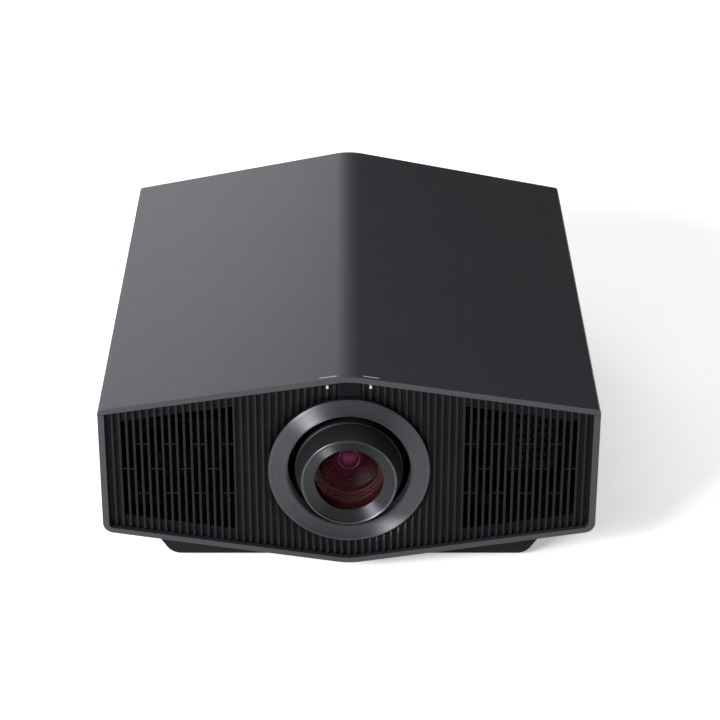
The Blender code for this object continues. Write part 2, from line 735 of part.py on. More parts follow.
def make_feet():
    for x, y, front_foot in foot_places():
        side = "left" if x < 0 else "right"
        high = FOOT_HEIGHT - GAP
        if not front_foot:
            profile = [(0, 0), (REAR_FOOT_RADIUS - FOOT_EDGE, 0), (REAR_FOOT_RADIUS, FOOT_EDGE)]
            profile += [(REAR_FOOT_RADIUS, high), (0, high)]
            foot = turned(profile, (x, y), "Z", 28)
            add_object(f"rear_foot_{side}", foot, "rubber", (x, y, 0), True)
            continue
        flange, seat = FOOT_SCREW_RADIUS + FOOT_FLANGE, FOOT_SEAT
        profile = [(0, 0), (FOOT_RADIUS - FOOT_EDGE, 0), (FOOT_RADIUS, FOOT_EDGE)]
        profile += [(FOOT_RADIUS, high - EDGE_CHAMFER), (FOOT_RADIUS - EDGE_CHAMFER, high)]
        profile += [(flange + GAP, high), (flange + GAP, seat), (0, seat)]
        pad = turned(profile, (x, y), "Z", 28)
        add_object(f"front_foot_pad_{side}", pad, "rubber", (x, y, 0), True)
        tip = base_floor + FOOT_SCREW_SHARE * foot_room
        profile = [(0, seat + GAP), (flange, seat + GAP), (flange, high), (FOOT_SCREW_RADIUS, high)]
        profile += [(FOOT_SCREW_RADIUS, tip - 1), (FOOT_SCREW_RADIUS - 1, tip), (0, tip)]
        screw = turned(profile, (x, y), "Z", 24)
        add_object(f"front_foot_screw_{side}", screw, "steel", (x, y, 0), True)


# The lens and its shift mechanism


def make_lens():
    tip = front - RING_PROUD - BARREL_REACH
    face = front - RING_PROUD
    seat = GLASS_RADIUS + GAP
    lip = BAFFLE_RADIUS
    profile = [
        (BARREL_TIP_RADIUS - 0.6, tip + 0.4),
        (BARREL_TIP_RADIUS, tip),
        (BARREL_TIP_RADIUS + 0.5, tip + 0.8),
        (BARREL_RADIUS - 0.4, face + 0.6),
        (BARREL_RADIUS - 1.4, face + 1.0),
        (BARREL_RADIUS - 1.4, face + 2.4),
        (BARREL_RADIUS, face + 2.8),
        (BARREL_RADIUS, barrel_end - BARREL_FLANGE_DEPTH),
        (BARREL_RADIUS + BARREL_FLANGE, barrel_end - BARREL_FLANGE_DEPTH),
        (BARREL_RADIUS + BARREL_FLANGE, barrel_end),
        (seat, barrel_end),
        (seat, tip + BAFFLE_DEPTH + BAFFLE_LIP),
        (lip, tip + BAFFLE_DEPTH + BAFFLE_LIP / 2),
        (lip, tip + BAFFLE_DEPTH),
        (BARREL_TIP_RADIUS - 1.2, tip + 1.2),
    ]
    barrel = turned(profile, (0, lens_z), "Y", 36)
    add_object("lens_barrel", barrel, "barrel", (0, face, lens_z), True)
    edge = tip + BAFFLE_DEPTH + BAFFLE_LIP + GLASS_SET_BACK
    steps = 6
    radius = GLASS_RADIUS
    sphere = (radius**2 + GLASS_BULGE**2) / (2 * GLASS_BULGE)
    dome = []
    for i in range(steps + 1):
        r = radius * i / steps
        dome.append((r, edge + sphere - math.sqrt(sphere**2 - r**2) - GLASS_BULGE))
    profile = dome + [(radius, edge + GLASS_EDGE), (0, edge + GLASS_EDGE)]
    glass = turned(profile, (0, lens_z), "Y", 32)
    add_object("front_glass", glass, "glass", (0, edge, lens_z), True)
    cell = edge + GLASS_EDGE + INNER_GLASS_GAP
    profile = [(0, cell), (radius * 0.6, cell + 1), (radius * 0.8, cell), (radius, cell)]
    profile += [(radius, cell + ZOOM_CELL_LENGTH), (0, cell + ZOOM_CELL_LENGTH)]
    group = turned(profile, (0, lens_z), "Y", 24)
    add_object("zoom_group", group, "glass", (0, cell, lens_z), True)
    start = plate_back + SHROUD_LENGTH + GEAR_RING_FROM_SHROUD
    for name in ("focus_ring", "zoom_ring"):
        bore = BARREL_RADIUS + RUNNING_GAP
        outer = bore + GEAR_RING_WALL
        end = start + GEAR_RING_WIDTH
        profile = [(bore, start), (outer, start), (outer, end), (bore, end)]
        ring = turned(profile, (0, lens_z), "Y", 32)
        add_object(name, ring, "aluminium", (0, start, lens_z), True)
        start = end + GEAR_RING_GAP


def make_lens_shift():
    """Two plates, one behind the other: the rear one rises and falls, the front one goes sideways."""
    side_start = barrel_end + GAP
    side_end = side_start + CARRIAGE_THICKNESS
    lift_start = side_end + CARRIAGE_GAP
    lift_end = lift_start + CARRIAGE_THICKNESS
    hole = BARREL_RADIUS - CARRIAGE_LIP
    half = OPTICS_HALF_WIDTH + CARRIAGE_OVERHANG
    nut_x = half + NUT_OUT
    roof = face_height(nut_x, WALL)
    lift_top = roof - SHIFT_VERTICAL - INNER_CLEAR
    lift_low = chassis_low + GAP + SHIFT_VERTICAL + INNER_CLEAR
    lift = add_object(
        "vertical_carriage",
        box((-half, lift_start, lift_low), (half, lift_end, lift_top)),
        "aluminium",
    )
    bore = rod(hole, (0, lens_z), "Y", lift_start - 1, lift_end + 1, 40)
    combine(lift, "DIFFERENCE", add_tool("carriage_bore", bore))
    nut = box(
        (half - 2, lift_start, lens_z - NUT_HALF_HEIGHT),
        (nut_x + NUT_HALF_WIDTH, lift_end, lens_z + NUT_HALF_HEIGHT),
    )
    combine(lift, "UNION", add_tool("lift_nut", nut))
    middle = (lift_start + lift_end) / 2
    bore = LEAD_SCREW_RADIUS + RUNNING_GAP
    reach = NUT_HALF_HEIGHT * 2
    nut_bore = rod(bore, (nut_x, middle), "Z", lens_z - reach, lens_z + reach, 20)
    combine(lift, "DIFFERENCE", add_tool("lift_nut_bore", nut_bore))
    motor_low = roof - INNER_CLEAR - SHIFT_MOTOR_LENGTH
    screw = rod(LEAD_SCREW_RADIUS, (nut_x, middle), "Z", deck + SCREW_CLEAR, motor_low - GAP, 20)
    add_object("vertical_lead_screw", screw, "steel", (nut_x, middle, lens_z), True)
    motor = rod(SHIFT_MOTOR_RADIUS, (nut_x, middle), "Z", motor_low, roof - INNER_CLEAR, 24)
    add_object("vertical_shift_motor", motor, "steel", (nut_x, middle, motor_low), True)

    screw_z = lift_top - SHIFT_MOTOR_RADIUS
    plate_half = BARREL_RADIUS + BARREL_FLANGE
    plate_high = screw_z - SHIFT_MOTOR_RADIUS - SHIFT_CLEAR
    plate = box(
        (-plate_half, side_start, lens_z - plate_half), (plate_half, side_end, plate_high)
    )
    slider = add_object("horizontal_carriage", plate, "aluminium")
    lug_high = screw_z + LEAD_SCREW_RADIUS + SHIFT_CLEAR * 2
    lug = box(
        (-NUT_HALF_WIDTH, side_start, plate_high - 1), (NUT_HALF_WIDTH, side_end, lug_high)
    )
    combine(slider, "UNION", add_tool("side_nut", lug))
    bores = rod(hole, (0, lens_z), "Y", side_start - 1, side_end + 1, 40)
    middle = (side_start + side_end) / 2
    reach = NUT_HALF_WIDTH * 2
    add_prism(bores, circle(bore, (middle, screw_z), 20), "X", -reach, reach)
    combine(slider, "DIFFERENCE", add_tool("side_bores", bores))
    motor_end = -plate_half - SHIFT_HORIZONTAL - SHIFT_CLEAR
    free_end = NUT_HALF_WIDTH + SHIFT_HORIZONTAL + SCREW_CLEAR
    screw = rod(LEAD_SCREW_RADIUS, (middle, screw_z), "X", motor_end + GAP, free_end, 20)
    add_object("horizontal_lead_screw", screw, "steel", (0, middle, screw_z), True)
    low = motor_end - SHIFT_MOTOR_LENGTH
    fore = middle - SHIFT_MOTOR_RADIUS
    motor = box((low, fore, screw_z - SHIFT_MOTOR_RADIUS), (motor_end, lift_start - GAP, lift_top))
    add_object("horizontal_shift_motor", motor, "steel", (low, middle, screw_z))
    return lift_end


# Inside the cabinet


def make_chassis(lift_end):
    """A flat deck with a bay cut out of its front for the lens."""
    low_y, high_y = front + CHASSIS_FROM_FRONT, rear_inner - CHASSIS_FROM_REAR
    half, bay = inner_half - CHASSIS_FROM_SIDE, lens_bay
    notch = lift_end + INNER_CLEAR
    points = [(-half, low_y), (-bay, low_y), (-bay, notch), (bay, notch), (bay, low_y)]
    points += [(half, low_y), (half, high_y), (-half, high_y)]
    add_object("main_chassis", prism(points, "Z", chassis_low, chassis_top), "steel")


def make_optics(lift_end):
    start = lift_end + OPTICS_BEHIND_LIFT
    end = start + OPTICS_LENGTH
    wall = OPTICS_WALL
    top = face_height(OPTICS_HALF_WIDTH, WALL + OPTICS_BELOW_COVER)
    half = OPTICS_HALF_WIDTH
    body = add_object("optical_block", box((-half, start, deck), (half, end, top)), "aluminium")
    hollow = box((-half + wall, start + wall, deck + wall), (half - wall, end - wall, top + 1))
    combine(body, "DIFFERENCE", add_tool("optics_hollow", hollow))
    port = rod(OPTICS_PORT_RADIUS, (0, lens_z), "Y", start - 1, start + wall + 1, 32)
    combine(body, "DIFFERENCE", add_tool("optics_port", port))
    side = PRISM_SIDE / 2
    middle = start + wall + PRISM_FROM_PORT + side
    low, high = (-side, middle - side, lens_z - side), (side, middle + side, lens_z + side)
    add_object("combiner_prism", box(low, high), "glass")
    near = side + PANEL_GAP
    far = near + PANEL_THICKNESS
    half = PANEL_SIDE / 2
    red = box((-far, middle - half, lens_z - half), (-near, middle + half, lens_z + half))
    add_object("panel_red", red, "socket")
    blue = box((near, middle - half, lens_z - half), (far, middle + half, lens_z + half))
    add_object("panel_blue", blue, "socket")
    green = box((-half, middle + near, lens_z - half), (half, middle + far, lens_z + half))
    add_object("panel_green", green, "socket")
    return start, end


def make_light_source(start, end):
    right = -OPTICS_HALF_WIDTH - LASER_FROM_OPTICS
    laser = box((-block_side, start, deck), (right, end, lens_z))
    add_object("laser_module", laser, "aluminium")
    left, right = -block_side - GAP, -lens_bay - HEAT_SINK_FROM_BAY
    pitch = (right - left) / (HEAT_SINK_FINS - 0.5)
    fin_low = deck + HEAT_SINK_BASE
    points = [(left, deck), (right, deck)]
    for i in reversed(range(HEAT_SINK_FINS)):
        x = left + i * pitch
        points += [(x + pitch / 2, lens_z), (x, lens_z)]
        if i:
            points += [(x, fin_low), (x - pitch / 2, fin_low)]
    sink_start = front + SCREEN_SET_BACK + FAN_DEPTH + HEAT_SINK_FROM_FAN
    sink = prism(points, "Y", sink_start, sink_start + HEAT_SINK_LENGTH)
    add_object("laser_heat_sink", sink, "aluminium")

    spot = ((start + end) / 2, lens_z)
    face = OPTICS_HALF_WIDTH + WHEEL_FROM_OPTICS
    back = face + WHEEL_THICKNESS
    motor_low = face + WHEEL_HUB_LENGTH + 2
    motor = rod(WHEEL_MOTOR_RADIUS, spot, "X", motor_low, motor_low + WHEEL_MOTOR_LENGTH, 24)
    add_object("wheel_motor", motor, "steel", (motor_low, *spot), True)
    hub_end = face + WHEEL_HUB_LENGTH
    disc = [(0, face), (WHEEL_RADIUS, face), (WHEEL_RADIUS, back)]
    disc += [(WHEEL_HUB_RADIUS, back), (WHEEL_HUB_RADIUS, hub_end), (0, hub_end)]
    add_object("phosphor_wheel", turned(disc, spot, "X", 36), "phosphor", (face, *spot), True)


def make_electronics(optics_end):
    rear_limit = rear_inner - FILTER_THICKNESS - POWER_FROM_FILTER
    supply = box(
        (-block_side, optics_end + POWER_FROM_OPTICS, deck),
        (-POWER_FROM_MIDDLE, rear_limit, lens_z + POWER_ABOVE_LENS),
    )
    add_object("power_supply", supply, "steel")
    board_x = connector_face - SOCKET_DEPTH - BOARD_FROM_SOCKETS
    board = box(
        (board_x, bay_front, chassis_top + 2),
        (board_x + BOARD_THICKNESS, rear_limit, bay_high + BOARD_ABOVE_BAY),
    )
    add_object("main_board", board, "board")
    half = half_width - WALL - FILTER_FROM_WALL
    low = face_height(half, WALL + FILTER_FROM_CASING, upper=False)
    high = face_height(half, WALL + FILTER_FROM_CASING, 1.0)
    end = rear_inner - FILTER_GAP
    foam = box((-half, end - FILTER_THICKNESS, low), (half, end, high))
    add_object("air_filter", foam, "foam")


def make_fans():
    start = front + SCREEN_SET_BACK + SCREEN_THICKNESS + FAN_FROM_SCREEN
    half = FAN_SIDE / 2
    bore = half - FAN_WALL
    for side, name in ((-1, "left"), (1, "right")):
        x = side * window_middle
        end = start + FAN_DEPTH
        frame = add_object(
            f"exhaust_fan_{name}_frame",
            box((x - half, start, lens_z - half), (x + half, end, lens_z + half)),
            "socket",
        )
        tunnel = rod(bore, (x, lens_z), "Y", start - 2, end + 2, 40)
        combine(frame, "DIFFERENCE", add_tool(f"fan_bore_{name}", tunnel))
        strut, wide = end - FAN_ARM_HALF, FAN_ARM_HALF
        arms = box((x - bore - 1, strut, lens_z - wide), (x + bore + 1, end - 0.5, lens_z + wide))
        combine(frame, "UNION", add_tool(f"fan_arm_flat_{name}", arms))
        low, high = (x - wide, strut + 0.2, lens_z - bore - 1), (x + wide, end - 0.7, lens_z + bore + 1)
        arms = box(low, high)
        combine(frame, "UNION", add_tool(f"fan_arm_upright_{name}", arms))
        seat = rod(FAN_HUB_RADIUS, (x, lens_z), "Y", strut - 1, end - 0.2, 24)
        combine(frame, "UNION", add_tool(f"fan_seat_{name}", seat))
        gap = FAN_TIP_GAP
        make_rotor(f"exhaust_fan_{name}_rotor", x, start + gap, strut - gap, bore - gap)


def make_rotor(name, x, start, end, reach):
    hub = turned(
        [(0, start), (FAN_HUB_RADIUS - 2, start), (FAN_HUB_RADIUS, start + 2),
         (FAN_HUB_RADIUS, end), (0, end)],
        (x, lens_z), "Y", 28,
    )
    rotor = add_object(name, hub, "key", (x, start, lens_z), True)
    blades = bmesh.new()
    thick, pitch = BLADE_HALF_THICKNESS, BLADE_HALF_SWEEP
    low, high = start + 2.5, end - 1.5
    for i in range(FAN_BLADES):
        turn = 2 * math.pi * i / FAN_BLADES
        out = Vector((math.cos(turn), math.sin(turn)))
        across = Vector((-out.y, out.x))
        rings = []
        for radius in (FAN_HUB_RADIUS - 4, reach):
            ring = []
            for y, offset in ((low, -pitch - thick), (high, pitch - thick),
                              (high, pitch + thick), (low, thick - pitch)):
                spot = out * radius + across * offset
                ring.append((x + spot.x, y, lens_z + spot.y))
            rings.append(ring)
        add_loft(blades, rings)
    combine(rotor, "UNION", add_tool(f"{name}_blades", blades))


# Side bay: sockets and keys


def make_sockets():
    height = (bay_low + bay_high) / 2
    margin = CONNECTOR_PLATE_MARGIN
    plate = box(
        (connector_back, bay_front - margin, bay_low - margin),
        (connector_face, bay_rear + margin, bay_high + margin),
    )
    plate = add_object("connector_plate", plate, "socket")
    seats = bmesh.new()
    back, mouth = connector_face - SOCKET_DEPTH, connector_face + SOCKET_PROUD
    for name, width, tall, deep, share in SOCKETS:
        y = bay_front + BAY_LENGTH * share
        is_inlet = name == "mains_inlet"
        wall = SOCKET_WALL * (2 if is_inlet else 1)
        half_y, half_z = width / 2 + wall, tall / 2 + wall
        low, high = (back, y - half_y, height - half_z), (mouth, y + half_y, height + half_z)
        made = add_object(name, box(low, high), "socket", (mouth, y, height))
        hollow = box(
            (mouth - deep, y - width / 2, height - tall / 2),
            (mouth + 1, y + width / 2, height + tall / 2),
        )
        combine(made, "DIFFERENCE", add_tool(f"{name}_mouth", hollow))
        if is_inlet:
            blades = bmesh.new()
            for shift, lift in INLET_BLADES:
                spot = (mouth - deep - 1, y + shift - 1, height + lift - 2)
                add_box(blades, spot, (mouth - 3, y + shift + 1, height + lift + 2))
            combine(made, "UNION", add_tool("inlet_blades", blades))
        add_box(
            seats,
            (connector_back - 1, y - half_y - GAP, height - half_z - GAP),
            (connector_face + 1, y + half_y + GAP, height + half_z + GAP),
        )
    combine(plate, "DIFFERENCE", add_tool("socket_seats", seats))


def make_keys():
    middle = (keypad_front + keypad_rear) / 2
    height = (keypad_low + keypad_high) / 2
    face = half_width - KEYPAD_RECESS
    back = half_width - WALL
    length, tall = KEYPAD_LENGTH - 2 * GAP, KEYPAD_HEIGHT - 2 * GAP
    corner = KEYPAD_CORNER - GAP
    frame = prism(rounded_rectangle((middle, height), length, tall, corner), "X", back, face)
    frame = add_object("keypad_frame", frame, "key")
    seats = bmesh.new()
    top = half_width - KEY_BELOW_SIDE
    flange = back - GAP
    for name, along, lift, width, high in KEYS:
        spot = (middle + along, height + lift)
        radius = min(width, high) / 2 * (0.98 if width == high else 0.35)
        hole = rounded_rectangle(spot, width + 2 * GAP, high + 2 * GAP, radius)
        add_prism(seats, hole, "X", back - 1, face + 1)
        rings = []
        for x, grow in (
            (flange - KEY_FLANGE, KEY_FLANGE),
            (flange, KEY_FLANGE),
            (flange, 0.0),
            (top - KEY_EDGE, 0.0),
            (top, -2 * KEY_EDGE),
        ):
            loop = rounded_rectangle(spot, width + grow, high + grow, radius + grow / 2)
            rings.append([(x, u, v) for u, v in loop])
        bm = bmesh.new()
        add_loft(bm, rings)
        add_object(name, bm, "key", (top, *spot), True)
    combine(frame, "DIFFERENCE", add_tool("key_seats", seats))


def main():
    clear_scene()
    make_casings()
    make_grille()
    make_trim_ring()
    make_vent_screen()
    make_rear_panel()
    make_base()
    make_feet()
    make_lens()
    lift_end = make_lens_shift()
    make_chassis(lift_end)
    optics_start, optics_end = make_optics(lift_end)
    make_light_source(optics_start, optics_end)
    make_electronics(optics_end)
    make_fans()
    make_sockets()
    make_keys()


main()
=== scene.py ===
import json
import math

import bmesh
import bpy
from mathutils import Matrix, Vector


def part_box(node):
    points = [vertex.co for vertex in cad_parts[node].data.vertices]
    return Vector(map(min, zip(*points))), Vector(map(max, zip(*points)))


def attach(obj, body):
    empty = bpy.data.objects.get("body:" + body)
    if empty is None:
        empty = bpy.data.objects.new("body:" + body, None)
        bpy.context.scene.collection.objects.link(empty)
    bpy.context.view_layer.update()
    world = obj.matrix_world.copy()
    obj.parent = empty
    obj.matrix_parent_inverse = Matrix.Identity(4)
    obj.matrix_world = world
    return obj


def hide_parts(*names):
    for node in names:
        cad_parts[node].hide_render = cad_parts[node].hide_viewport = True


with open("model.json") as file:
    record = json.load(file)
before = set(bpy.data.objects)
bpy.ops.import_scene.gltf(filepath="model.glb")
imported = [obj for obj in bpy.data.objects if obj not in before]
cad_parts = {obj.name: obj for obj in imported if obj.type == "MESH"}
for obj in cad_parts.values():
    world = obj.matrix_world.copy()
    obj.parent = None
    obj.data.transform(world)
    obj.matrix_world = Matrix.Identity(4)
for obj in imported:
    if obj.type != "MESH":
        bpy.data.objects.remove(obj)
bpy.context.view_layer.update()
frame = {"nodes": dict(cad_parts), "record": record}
print("frame loaded:", len(frame["nodes"]), "nodes")

mm = 0.001
scene = bpy.context.scene


# places read from the frame, in millimetres

def boxOf(node):
    low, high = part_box(node)
    return Vector(low) / mm, Vector(high) / mm


def middleOf(node):
    low, high = boxOf(node)
    return (low + high) / 2


lowerLow, lowerHigh = boxOf("bottom_casing")
upperLow, upperHigh = boxOf("top_cover")
frontY, rearY, halfWidth = lowerLow.y, lowerHigh.y, lowerHigh.x
depth = rearY - frontY
parting = (upperLow.z + lowerHigh.z) / 2
ringLow, ringHigh = boxOf("lens_trim_ring")
lensZ = (ringLow.z + ringHigh.z) / 2
ringRadius = ringHigh.x
barrelLow, barrelHigh = boxOf("lens_barrel")
tipY = barrelLow.y
ringBore = 57.0


def newMaterial(name):
    # gives the material, a function that adds a node and one that sets the shader's sockets
    material = bpy.data.materials.new(name)
    material.use_nodes = True
    tree = material.node_tree

    def feed(node, values):
        for key, value in values.items():
            if isinstance(value, bpy.types.NodeSocket):
                tree.links.new(value, node.inputs[key])
            else:
                node.inputs[key].default_value = value

    def add(kind, values=None, out=0, **settings):
        node = tree.nodes.new("ShaderNode" + kind)
        for key, value in settings.items():
            setattr(node, key, value)
        feed(node, values or {})
        return node.outputs[out]

    return material, add, lambda values: feed(tree.nodes["Principled BSDF"], values)


# camera, floor and light

cameraSet = {
    "focal": 120.4,
    "behind": 1.9287,  # in front of the cabinet's front plane
    "above": 1.0520,  # above the line between the casings
    "pitch": 27.29,
    "shift": 0.0152,
}


def makeCamera():
    data = bpy.data.cameras.new("camera")
    data.lens = cameraSet["focal"]
    data.sensor_width = 36.0
    data.shift_x = cameraSet["shift"]
    data.clip_end = 60
    camera = bpy.data.objects.new("camera", data)
    camera.location = (0, frontY * mm - cameraSet["behind"], parting * mm + cameraSet["above"])
    camera.rotation_euler = (math.radians(90 - cameraSet["pitch"]), 0, 0)
    scene.collection.objects.link(camera)
    scene.camera = camera


lightSet = {
    "world": 0.11,
    # name: (place, aim, width, height, watts, colour)
    "lamps": {
        "skyPanel": ((0.0, -0.6, 3.8), (0, -0.4, 0), 5.6, 4.6, 88, (0.96, 0.97, 1.0)),
        "backLeftPanel": ((-2.2, 4.2, 2.1), (-0.1, 0, 0.2), 4.0, 2.2, 74, (0.91, 0.93, 1.0)),
        "frontLeftPanel": ((-2.3, -2.6, 1.55), (0, -0.25, 0.11), 1.5, 0.9, 250, (0.97, 0.98, 1.0)),
        "frontRightPanel": ((2.6, -2.2, 0.9), (0, -0.2, 0.1), 0.7, 1.2, 8, (1, 1, 1)),
    },
}


def makeLights():
    world = bpy.data.worlds.new("studio")
    world.use_nodes = True
    world.node_tree.nodes["Background"].inputs["Color"].default_value = (1, 1, 1, 1)
    world.node_tree.nodes["Background"].inputs["Strength"].default_value = lightSet["world"]
    scene.world = world
    for name, (place, aim, width, height, watts, colour) in lightSet["lamps"].items():
        data = bpy.data.lights.new(name, "AREA")
        data.shape = "RECTANGLE"
        data.size, data.size_y = width, height
        data.energy = watts
        data.color = colour
        lamp = bpy.data.objects.new(name, data)
        lamp.location = place
        lamp.rotation_euler = (Vector(aim) - Vector(place)).to_track_quat("-Z", "Y").to_euler()
        scene.collection.objects.link(lamp)


floorSet = {"colour": 0.95, "rough": 0.8, "shine": 0.1, "glow": 0.38, "half": 14, "under": 0.0002}


def makeFloor():
    f = floorSet
    bm = bmesh.new()
    bmesh.ops.create_grid(bm, x_segments=1, y_segments=1, size=f["half"])
    mesh = bpy.data.meshes.new("floor")
    bm.to_mesh(mesh)
    bm.free()
    floor = bpy.data.objects.new("floor", mesh)
    floor.location.z = -f["under"]
    scene.collection.objects.link(floor)
    material, _, paint = newMaterial("floorPaint")
    paint({"Base Color": (f["colour"], f["colour"], f["colour"], 1), "Roughness": f["rough"],
           "Specular IOR Level": f["shine"], "Emission Color": (1, 1, 1, 1), "Emission Strength": f["glow"]})
    mesh.materials.append(material)


makeCamera()
makeLights()
makeFloor()
scene.view_settings.view_transform = "Standard"
print("camera, lights and floor placed")


# finishes: colour and its darker or lighter drift, roughness range, grain size and depth in mm

finishSet = {
    "casingPaint": dict(colour=(0.0150, 0.0155, 0.0185), drift=(0.0125, 0.0130, 0.0160),
                        wear=(0.034, 0.035, 0.040), rough=(0.415, 0.430), grain=0.5, deep=0.010, spec=0.42),
    "basePaint": dict(colour=(0.0050, 0.0052, 0.0062), drift=(0.0042, 0.0044, 0.0053),
                      wear=(0.016, 0.017, 0.020), rough=(0.46, 0.50), grain=0.5, deep=0.010, spec=0.12),
    "ribPlastic": dict(colour=(0.0058, 0.0060, 0.0068), drift=(0.0044, 0.0046, 0.0052),
                       wear=(0.018, 0.018, 0.020), rough=(0.36, 0.46), grain=0.30, deep=0.006, spec=0.12),
    "platePlastic": dict(colour=(0.0045, 0.0045, 0.0050), drift=(0.0030, 0.0030, 0.0035),
                         rough=(0.52, 0.62), grain=0.40, deep=0.008, spec=0.10),
    "blackenedMetal": dict(colour=(0.010, 0.010, 0.011), drift=(0.007, 0.007, 0.008),
                           wear=(0.050, 0.050, 0.053), rough=(0.42, 0.54), grain=0.3, deep=0.005, spec=0.2),
    "receiverWindow": dict(colour=(0.0040, 0.0035, 0.0050), drift=(0.0030, 0.0028, 0.0040),
                           rough=(0.10, 0.16), grain=4.0, deep=0.002, spec=0.04),
    "barrelPaint": dict(colour=(0.0065, 0.0067, 0.0076), drift=(0.0048, 0.0050, 0.0056),
                        wear=(0.045, 0.045, 0.048), rough=(0.44, 0.50), grain=0.25, deep=0.004, spec=0.20),
    # blackened lens cells, tinted red: the red is a painted reflection of the coated glass
    "cellBlackPaintedRed": dict(colour=(0.0240, 0.0060, 0.0070), drift=(0.0180, 0.0045, 0.0055),
                      rough=(0.38, 0.5), grain=0.3, deep=0.004, spec=0.15),
    "moulding": dict(colour=(0.0068, 0.0068, 0.0076), drift=(0.0050, 0.0050, 0.0056),
                     wear=(0.022, 0.022, 0.024), rough=(0.45, 0.58), grain=0.35, deep=0.008, spec=0.25),
    # black fan plastic, darkened further: painted shade of the interior seen through the grille windows
    "fanPlasticShaded": dict(colour=(0.0022, 0.0022, 0.0025), drift=(0.0016, 0.0016, 0.0018),
                       wear=(0.005, 0.005, 0.0055), rough=(0.58, 0.68), grain=0.35, deep=0.008, spec=0.02),
    "keyPlastic": dict(colour=(0.045, 0.046, 0.050), drift=(0.036, 0.037, 0.041),
                       wear=(0.085, 0.085, 0.090), rough=(0.36, 0.46), grain=0.22, deep=0.005),
    "footRubber": dict(colour=(0.016, 0.016, 0.016), drift=(0.028, 0.027, 0.026),
                       rough=(0.72, 0.88), grain=0.5, deep=0.020),
    "filterFoam": dict(colour=(0.050, 0.050, 0.054), drift=(0.018, 0.018, 0.020),
                       rough=(0.90, 1.0), grain=0.9, deep=0.30),
    # dark screen paint, darkened further: painted shade of the interior seen through the grille window
    "screenPaintShaded": dict(colour=(0.0040, 0.0040, 0.0045), drift=(0.0028, 0.0028, 0.0032),
                        wear=(0.010, 0.010, 0.011), rough=(0.50, 0.60), grain=0.3, deep=0.006, spec=0.04),
    "sheetSteel": dict(colour=(0.50, 0.50, 0.51), drift=(0.40, 0.40, 0.41), wear=(0.72, 0.72, 0.72),
                       rough=(0.28, 0.42), grain=0.6, deep=0.006, metal=1.0, brushed=18.0),
    "turnedSteel": dict(colour=(0.60, 0.60, 0.61), drift=(0.48, 0.48, 0.49), wear=(0.80, 0.80, 0.80),
                        rough=(0.20, 0.32), grain=0.4, deep=0.005, metal=1.0),
    "castMetal": dict(colour=(0.55, 0.55, 0.57), drift=(0.42, 0.42, 0.44), wear=(0.75, 0.75, 0.76),
                      rough=(0.38, 0.55), grain=0.8, deep=0.030, metal=1.0),
    "socketPlating": dict(colour=(0.52, 0.51, 0.49), drift=(0.42, 0.41, 0.40), wear=(0.78, 0.77, 0.75),
                          rough=(0.22, 0.34), grain=0.4, deep=0.004, metal=1.0),
    "contactGold": dict(colour=(0.80, 0.58, 0.24), drift=(0.66, 0.46, 0.18),
                        rough=(0.18, 0.28), grain=0.3, deep=0.003, metal=1.0),
    # light pipes: grey plastic with a faint painted glow
    "lightPipe": dict(colour=(0.28, 0.29, 0.31), drift=(0.20, 0.21, 0.23),
                      rough=(0.18, 0.28), grain=1.2, deep=0.004, glow=0.06),
    "printInk": dict(colour=(0.46, 0.47, 0.49), drift=(0.38, 0.39, 0.41),
                     rough=(0.45, 0.6), grain=0.3, deep=0.003),
    "boardMask": dict(colour=(0.016, 0.105, 0.042), drift=(0.010, 0.070, 0.030),
                      rough=(0.30, 0.45), grain=1.5, deep=0.020),
    "phosphorCoat": dict(colour=(0.78, 0.66, 0.10), drift=(0.62, 0.50, 0.08),
                         rough=(0.55, 0.72), grain=0.5, deep=0.020),
    "panelGlass": dict(colour=(0.030, 0.028, 0.045), drift=(0.020, 0.018, 0.035),
                       rough=(0.08, 0.16), grain=2.0, deep=0.002),
    # bright pinkish ring: painted reflection of a deep ring's arc in the lens
    "paintedArcReflection": dict(colour=(0.55, 0.36, 0.44), drift=(0.42, 0.27, 0.34),
                      rough=(0.30, 0.40), grain=0.4, deep=0.003, metal=0.7),
    # orange-brown rings: painted reflection, their colour copies arcs reflected in the coated glass
    "paintedReflectionArcs": dict(colour=(0.090, 0.034, 0.022), drift=(0.070, 0.024, 0.016),
                       rough=(0.24, 0.34), grain=0.4, deep=0.003, metal=0.6),
}


noiseSet = {
    # noises shared by these finishes: how many fit in a metre, and how strong they are
    "cloud": 22.0, "spread": (0.12, 0.42), "sheen": 48.0, "rub": 160.0, "bump": 0.5,
    "edge": (0.53, 0.62), "mostWorn": 0.6,
}


